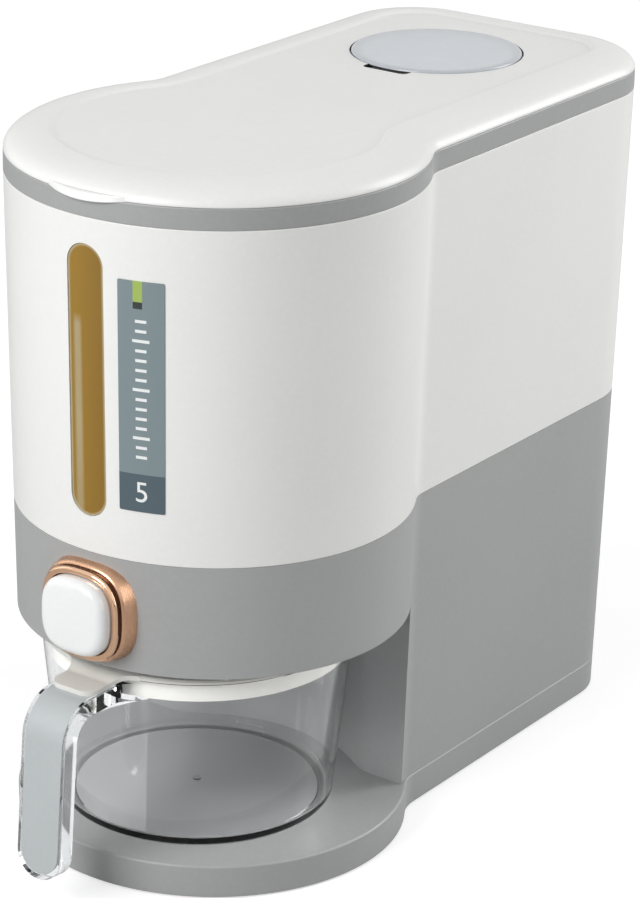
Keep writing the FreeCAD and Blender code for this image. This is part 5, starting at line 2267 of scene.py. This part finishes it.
    def tab(self) -> Mesh:
        """Closed mesh of the thumb tab, sloping down from the ring.

        Returns:
            The closed mesh.
        """
        flat = self.rim + self.collar_rise
        low = flat - self.tab_thickness
        bm = self.tongue(self.tab_half, self.tab_reach, low, flat, self.collar_radius)
        near, far = self.tab_slope
        self.slice_slope(bm, near, far)
        for vertex in bm.verts:
            share = (self.plan.axis_y - vertex.co.y - near) / (far - near)
            share = min(max(share, 0.0), 1.0)
            vertex.co.z -= self.tab_drop * share * share * (3.0 - 2.0 * share)
        return bm

    def slice_slope(self, bm: Mesh, near: float, far: float) -> None:
        """Add rows of edges so that the slope can bend.

        Args:
            bm: Mesh to work on.
            near: Reach at which the slope begins.
            far: Reach at which the slope ends.
        """
        for step in range(self.slope_rows + 1):
            reach = near + (far - near) * step / self.slope_rows
            bmesh.ops.bisect_plane(
                bm,
                geom=bm.verts[:] + bm.edges[:] + bm.faces[:],
                plane_co=Vector((0.0, self.plan.axis_y - reach, 0.0)),
                plane_no=BACKWARDS,
                dist=1e-7,
            )

    def collar(self) -> Thing:
        """Build the cream collar with its thumb tab.

        Returns:
            The piece's object.
        """
        below, above = self.well
        low, high = self.rim - below, self.rim + above
        well = post(self.rim_radius - self.wall, self.axis_y, low, high, self.facets)
        tab = combined(self.tab(), Join.CUT, well)
        tip = self.plan.axis_y - self.tab_reach
        ends = creases(tab, lambda spot: spot.y < tip + NEAR, 50.0)
        corners = [edge for edge in ends if not agree(*(end.co.z for end in edge.verts), MM)]
        soften(tab, corners, self.tab_corner, 10)
        bm = combined(self.ring(), Join.ADD, tab)
        flat = self.rim + self.collar_rise - self.tab_drop - self.tip_margin
        edge = self.rim_radius + self.ring_margin
        outside = creases(bm, lambda spot: spot.z > flat and self.away(spot) > edge, 45.0)
        soften(bm, outside, self.collar_round)
        # Painted shadow: near-black finish in the gap between the rim and the collar.
        paint(bm, self.in_painted_shadow)
        piece = Piece("cup_cream_collar", Body.CUP, "cream", "cream_plastic", ("cup_collar",))
        return piece.settle(bm, self.book, PAINTED_SHADOW)

    def in_painted_shadow(self, spot: Vector) -> bool:
        """Tell whether a point is in the gap between the rim and the collar, where shadow is
        painted.
        """
        level = self.rim - HAIR / 2.0 < spot.z < self.rim + self.gap_height + HAIR / 2.0
        return level and self.rim_radius - self.wall < self.away(spot) < self.collar_radius - SLACK

    def build(self) -> list[Thing]:
        """Build the cup and everything on it."""
        return [self.vessel(), self.mark(), self.insert(), self.collar()]


# ---- solids that keep their own shape -----------------------------------------------------
@dataclass(frozen=True)
class InnerParts:
    """Finishes of the solids that no new piece stands for."""

    book: FinishBook
    finishes: dict[str, tuple[str, ...]] = field(
        default_factory=lambda: {
            "inner_grey_plastic": ("bottom_plate", "gate_flap", "button_guide", "push_rod"),
            "mid_grey_plastic": ("head_floor",),
            "food_white_plastic": ("hopper", "gate_frame", "desiccant_basket"),
            "black_rubber": ("rubber_feet",),
            "pale_silicone": ("lid_seal", "cap_seal", "window_seal"),
        }
    )
    other: str = "plain_steel"

    def dress(self, stood_for: Iterable[str]) -> None:
        """Give every remaining solid its finish.

        Args:
            stood_for: Names of the solids that new pieces stand for.
        """
        chosen = {node: finish for finish, nodes in self.finishes.items() for node in nodes}
        hidden = set(stood_for)
        for name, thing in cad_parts.items():
            if name in hidden:
                continue
            finish = chosen.get(name, self.other)
            for holder in thing.material_slots:
                holder.material = self.book[finish]
            log.info("%s: %s", name, finish)


# ---- studio -------------------------------------------------------------------------------
@dataclass(frozen=True)
class Softbox:
    """One soft lamp, aimed at a point."""

    name: str
    place: Triple
    aim: Triple
    width: float
    height: float
    watts: float

    def hang(self) -> None:
        """Add the lamp."""
        lamp = bpy.data.lights.new(self.name, "AREA")
        lamp.shape = "RECTANGLE"
        lamp.size, lamp.size_y = self.width, self.height
        lamp.energy = self.watts
        thing = shown(self.name, lamp)
        thing.location = self.place
        ray = Vector(self.aim) - Vector(self.place)
        thing.rotation_euler = ray.to_track_quat("-Z", "Y").to_euler()


@dataclass(frozen=True)
class Studio:
    """Pale floor, white surroundings, soft lamps and the camera."""

    lamps: tuple[Softbox, ...] = (
        Softbox("key_softbox", (-0.27, -1.54, 1.08), (0.0, -0.02, 0.18), 0.9, 0.9, 23.5),
        Softbox("side_softbox", (1.07, 1.28, 0.85), (0.0, 0.03, 0.18), 0.8, 1.1, 19.0),
        Softbox("left_strip", (-1.18, -0.74, 0.80), (0.0, -0.06, 0.12), 0.10, 1.0, 1.0),
        Softbox("right_strip", (1.34, 0.18, 0.52), (0.0, -0.03, 0.14), 0.10, 1.0, 1.6),
    )
    ambient: float = 0.35
    floor_size: float = 40.0
    floor_tone: Triple = (0.55, 0.55, 0.55)
    floor_glow: tuple[float, float] = (0.60, 0.86)
    floor_reach: tuple[float, float] = (0.5, 2.2)
    aim: Triple = (0.0, -0.001403, 0.170)
    azimuth: float = math.radians(35.3318)
    elevation: float = math.radians(20.7126)
    roll: float = math.radians(1.036)
    distance: float = 1.56685
    focal_pixels: float = 3442.25
    centre: tuple[float, float] = (294.966, 423.796)
    picture: tuple[int, int] = (640, 898)
    sensor: float = 36.0

    def surroundings(self) -> None:
        """White world that lights the object at a plain level."""
        world = bpy.data.worlds.new("white_surroundings")
        world.use_nodes = True
        bench = Bench(world.node_tree)
        plain, white = (
            bench.shader_of("Background", Color=tone(1.0, 1.0, 1.0), Strength=level)
            for level in (self.ambient, 1.0)
        )
        seen = bench.seen_by("Camera", "Glossy", "Transmission")
        bench.feed(bench.either(seen, plain, white), bench.node("OutputWorld").inputs["Surface"])
        bpy.context.scene.world = world

    def floor_finish(self) -> bpy.types.Material:
        """Matt white that keeps shadows and meets the white surroundings.

        Returns:
            The material.
        """
        bench = Surface("studio_floor_white")
        bench.sockets(Base_Color=tone(*self.floor_tone), Roughness=0.9, Specular_IOR_Level=0.1)
        away = bench.node("VectorMath", operation="LENGTH")
        bench.feed(bench.place(), away.inputs[0])
        strength = bench.spread(away.outputs["Value"], *self.floor_glow, *self.floor_reach)
        dark, glow = (bench.shader_of("Emission", Strength=level) for level in (0.0, strength))
        added = bench.either(bench.seen_by("Camera", "Transmission"), dark, glow)
        bench.show(bench.fed(bench.node("AddShader"), bench.shader.outputs[0], added))
        return bench.material

    def floor(self) -> None:
        """Lay the floor under the feet."""
        bm = bmesh.new()
        bmesh.ops.create_grid(bm, x_segments=2, y_segments=2, size=self.floor_size / 2.0)
        bmesh.ops.translate(bm, verts=bm.verts[:], vec=UP * solid_bounds[0].z)
        thing = shown("studio_floor", mesh_of(bm, "studio_floor"))
        thing.data.materials.append(self.floor_finish())

    def camera(self) -> None:
        """Set the camera."""
        turn, climb = self.azimuth, self.elevation
        level = math.cos(climb)
        back = Vector((math.sin(turn) * level, -math.cos(turn) * level, math.sin(climb)))
        lens = bpy.data.cameras.new("view_camera")
        width, height = self.picture
        lens.sensor_width = self.sensor
        lens.lens = self.focal_pixels / height * self.sensor
        lens.shift_x = (width / 2.0 - self.centre[0]) / height
        lens.shift_y = (self.centre[1] - height / 2.0) / height
        lens.clip_start = 0.05
        thing = shown("view_camera", lens)
        look = back.to_track_quat("Z", "Y").to_matrix().to_4x4()
        place = Matrix.Translation(Vector(self.aim) + back * self.distance)
        thing.matrix_world = place @ look @ Matrix.Rotation(self.roll, 4, "Z")
        bpy.context.scene.camera = thing

    def build(self) -> None:
        """Set up the whole studio."""
        self.surroundings()
        self.floor()
        for lamp in self.lamps:
            lamp.hang()
        self.camera()
        bpy.context.scene.view_settings.view_transform = "Standard"


def main() -> None:
    """Build every piece, dress the solids that stay and set up the studio."""
    logging.basicConfig(level=logging.INFO)
    book = FinishBook()
    book.fill()
    plan = BodyPlan()
    square = SoftSquare(plan)
    lid = Lid(plan, book)
    pieces: list[Thing] = []
    for assembly in (
        Base(plan, book),
        LowerBody(plan, book, square),
        Container(plan, book),
        PrintedPlate(plan, book),
        RimBand(plan, book),
        lid,
        MoistureCap(plan, book, lid),
        PushButton(plan, book, square),
        MeasuringCup(plan, book),
    ):
        pieces.extend(assembly.build())
    InnerParts(book).dress(name for piece in pieces for name in piece.get("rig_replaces", []))
    Studio().build()


if __name__ == "__main__":
    main()
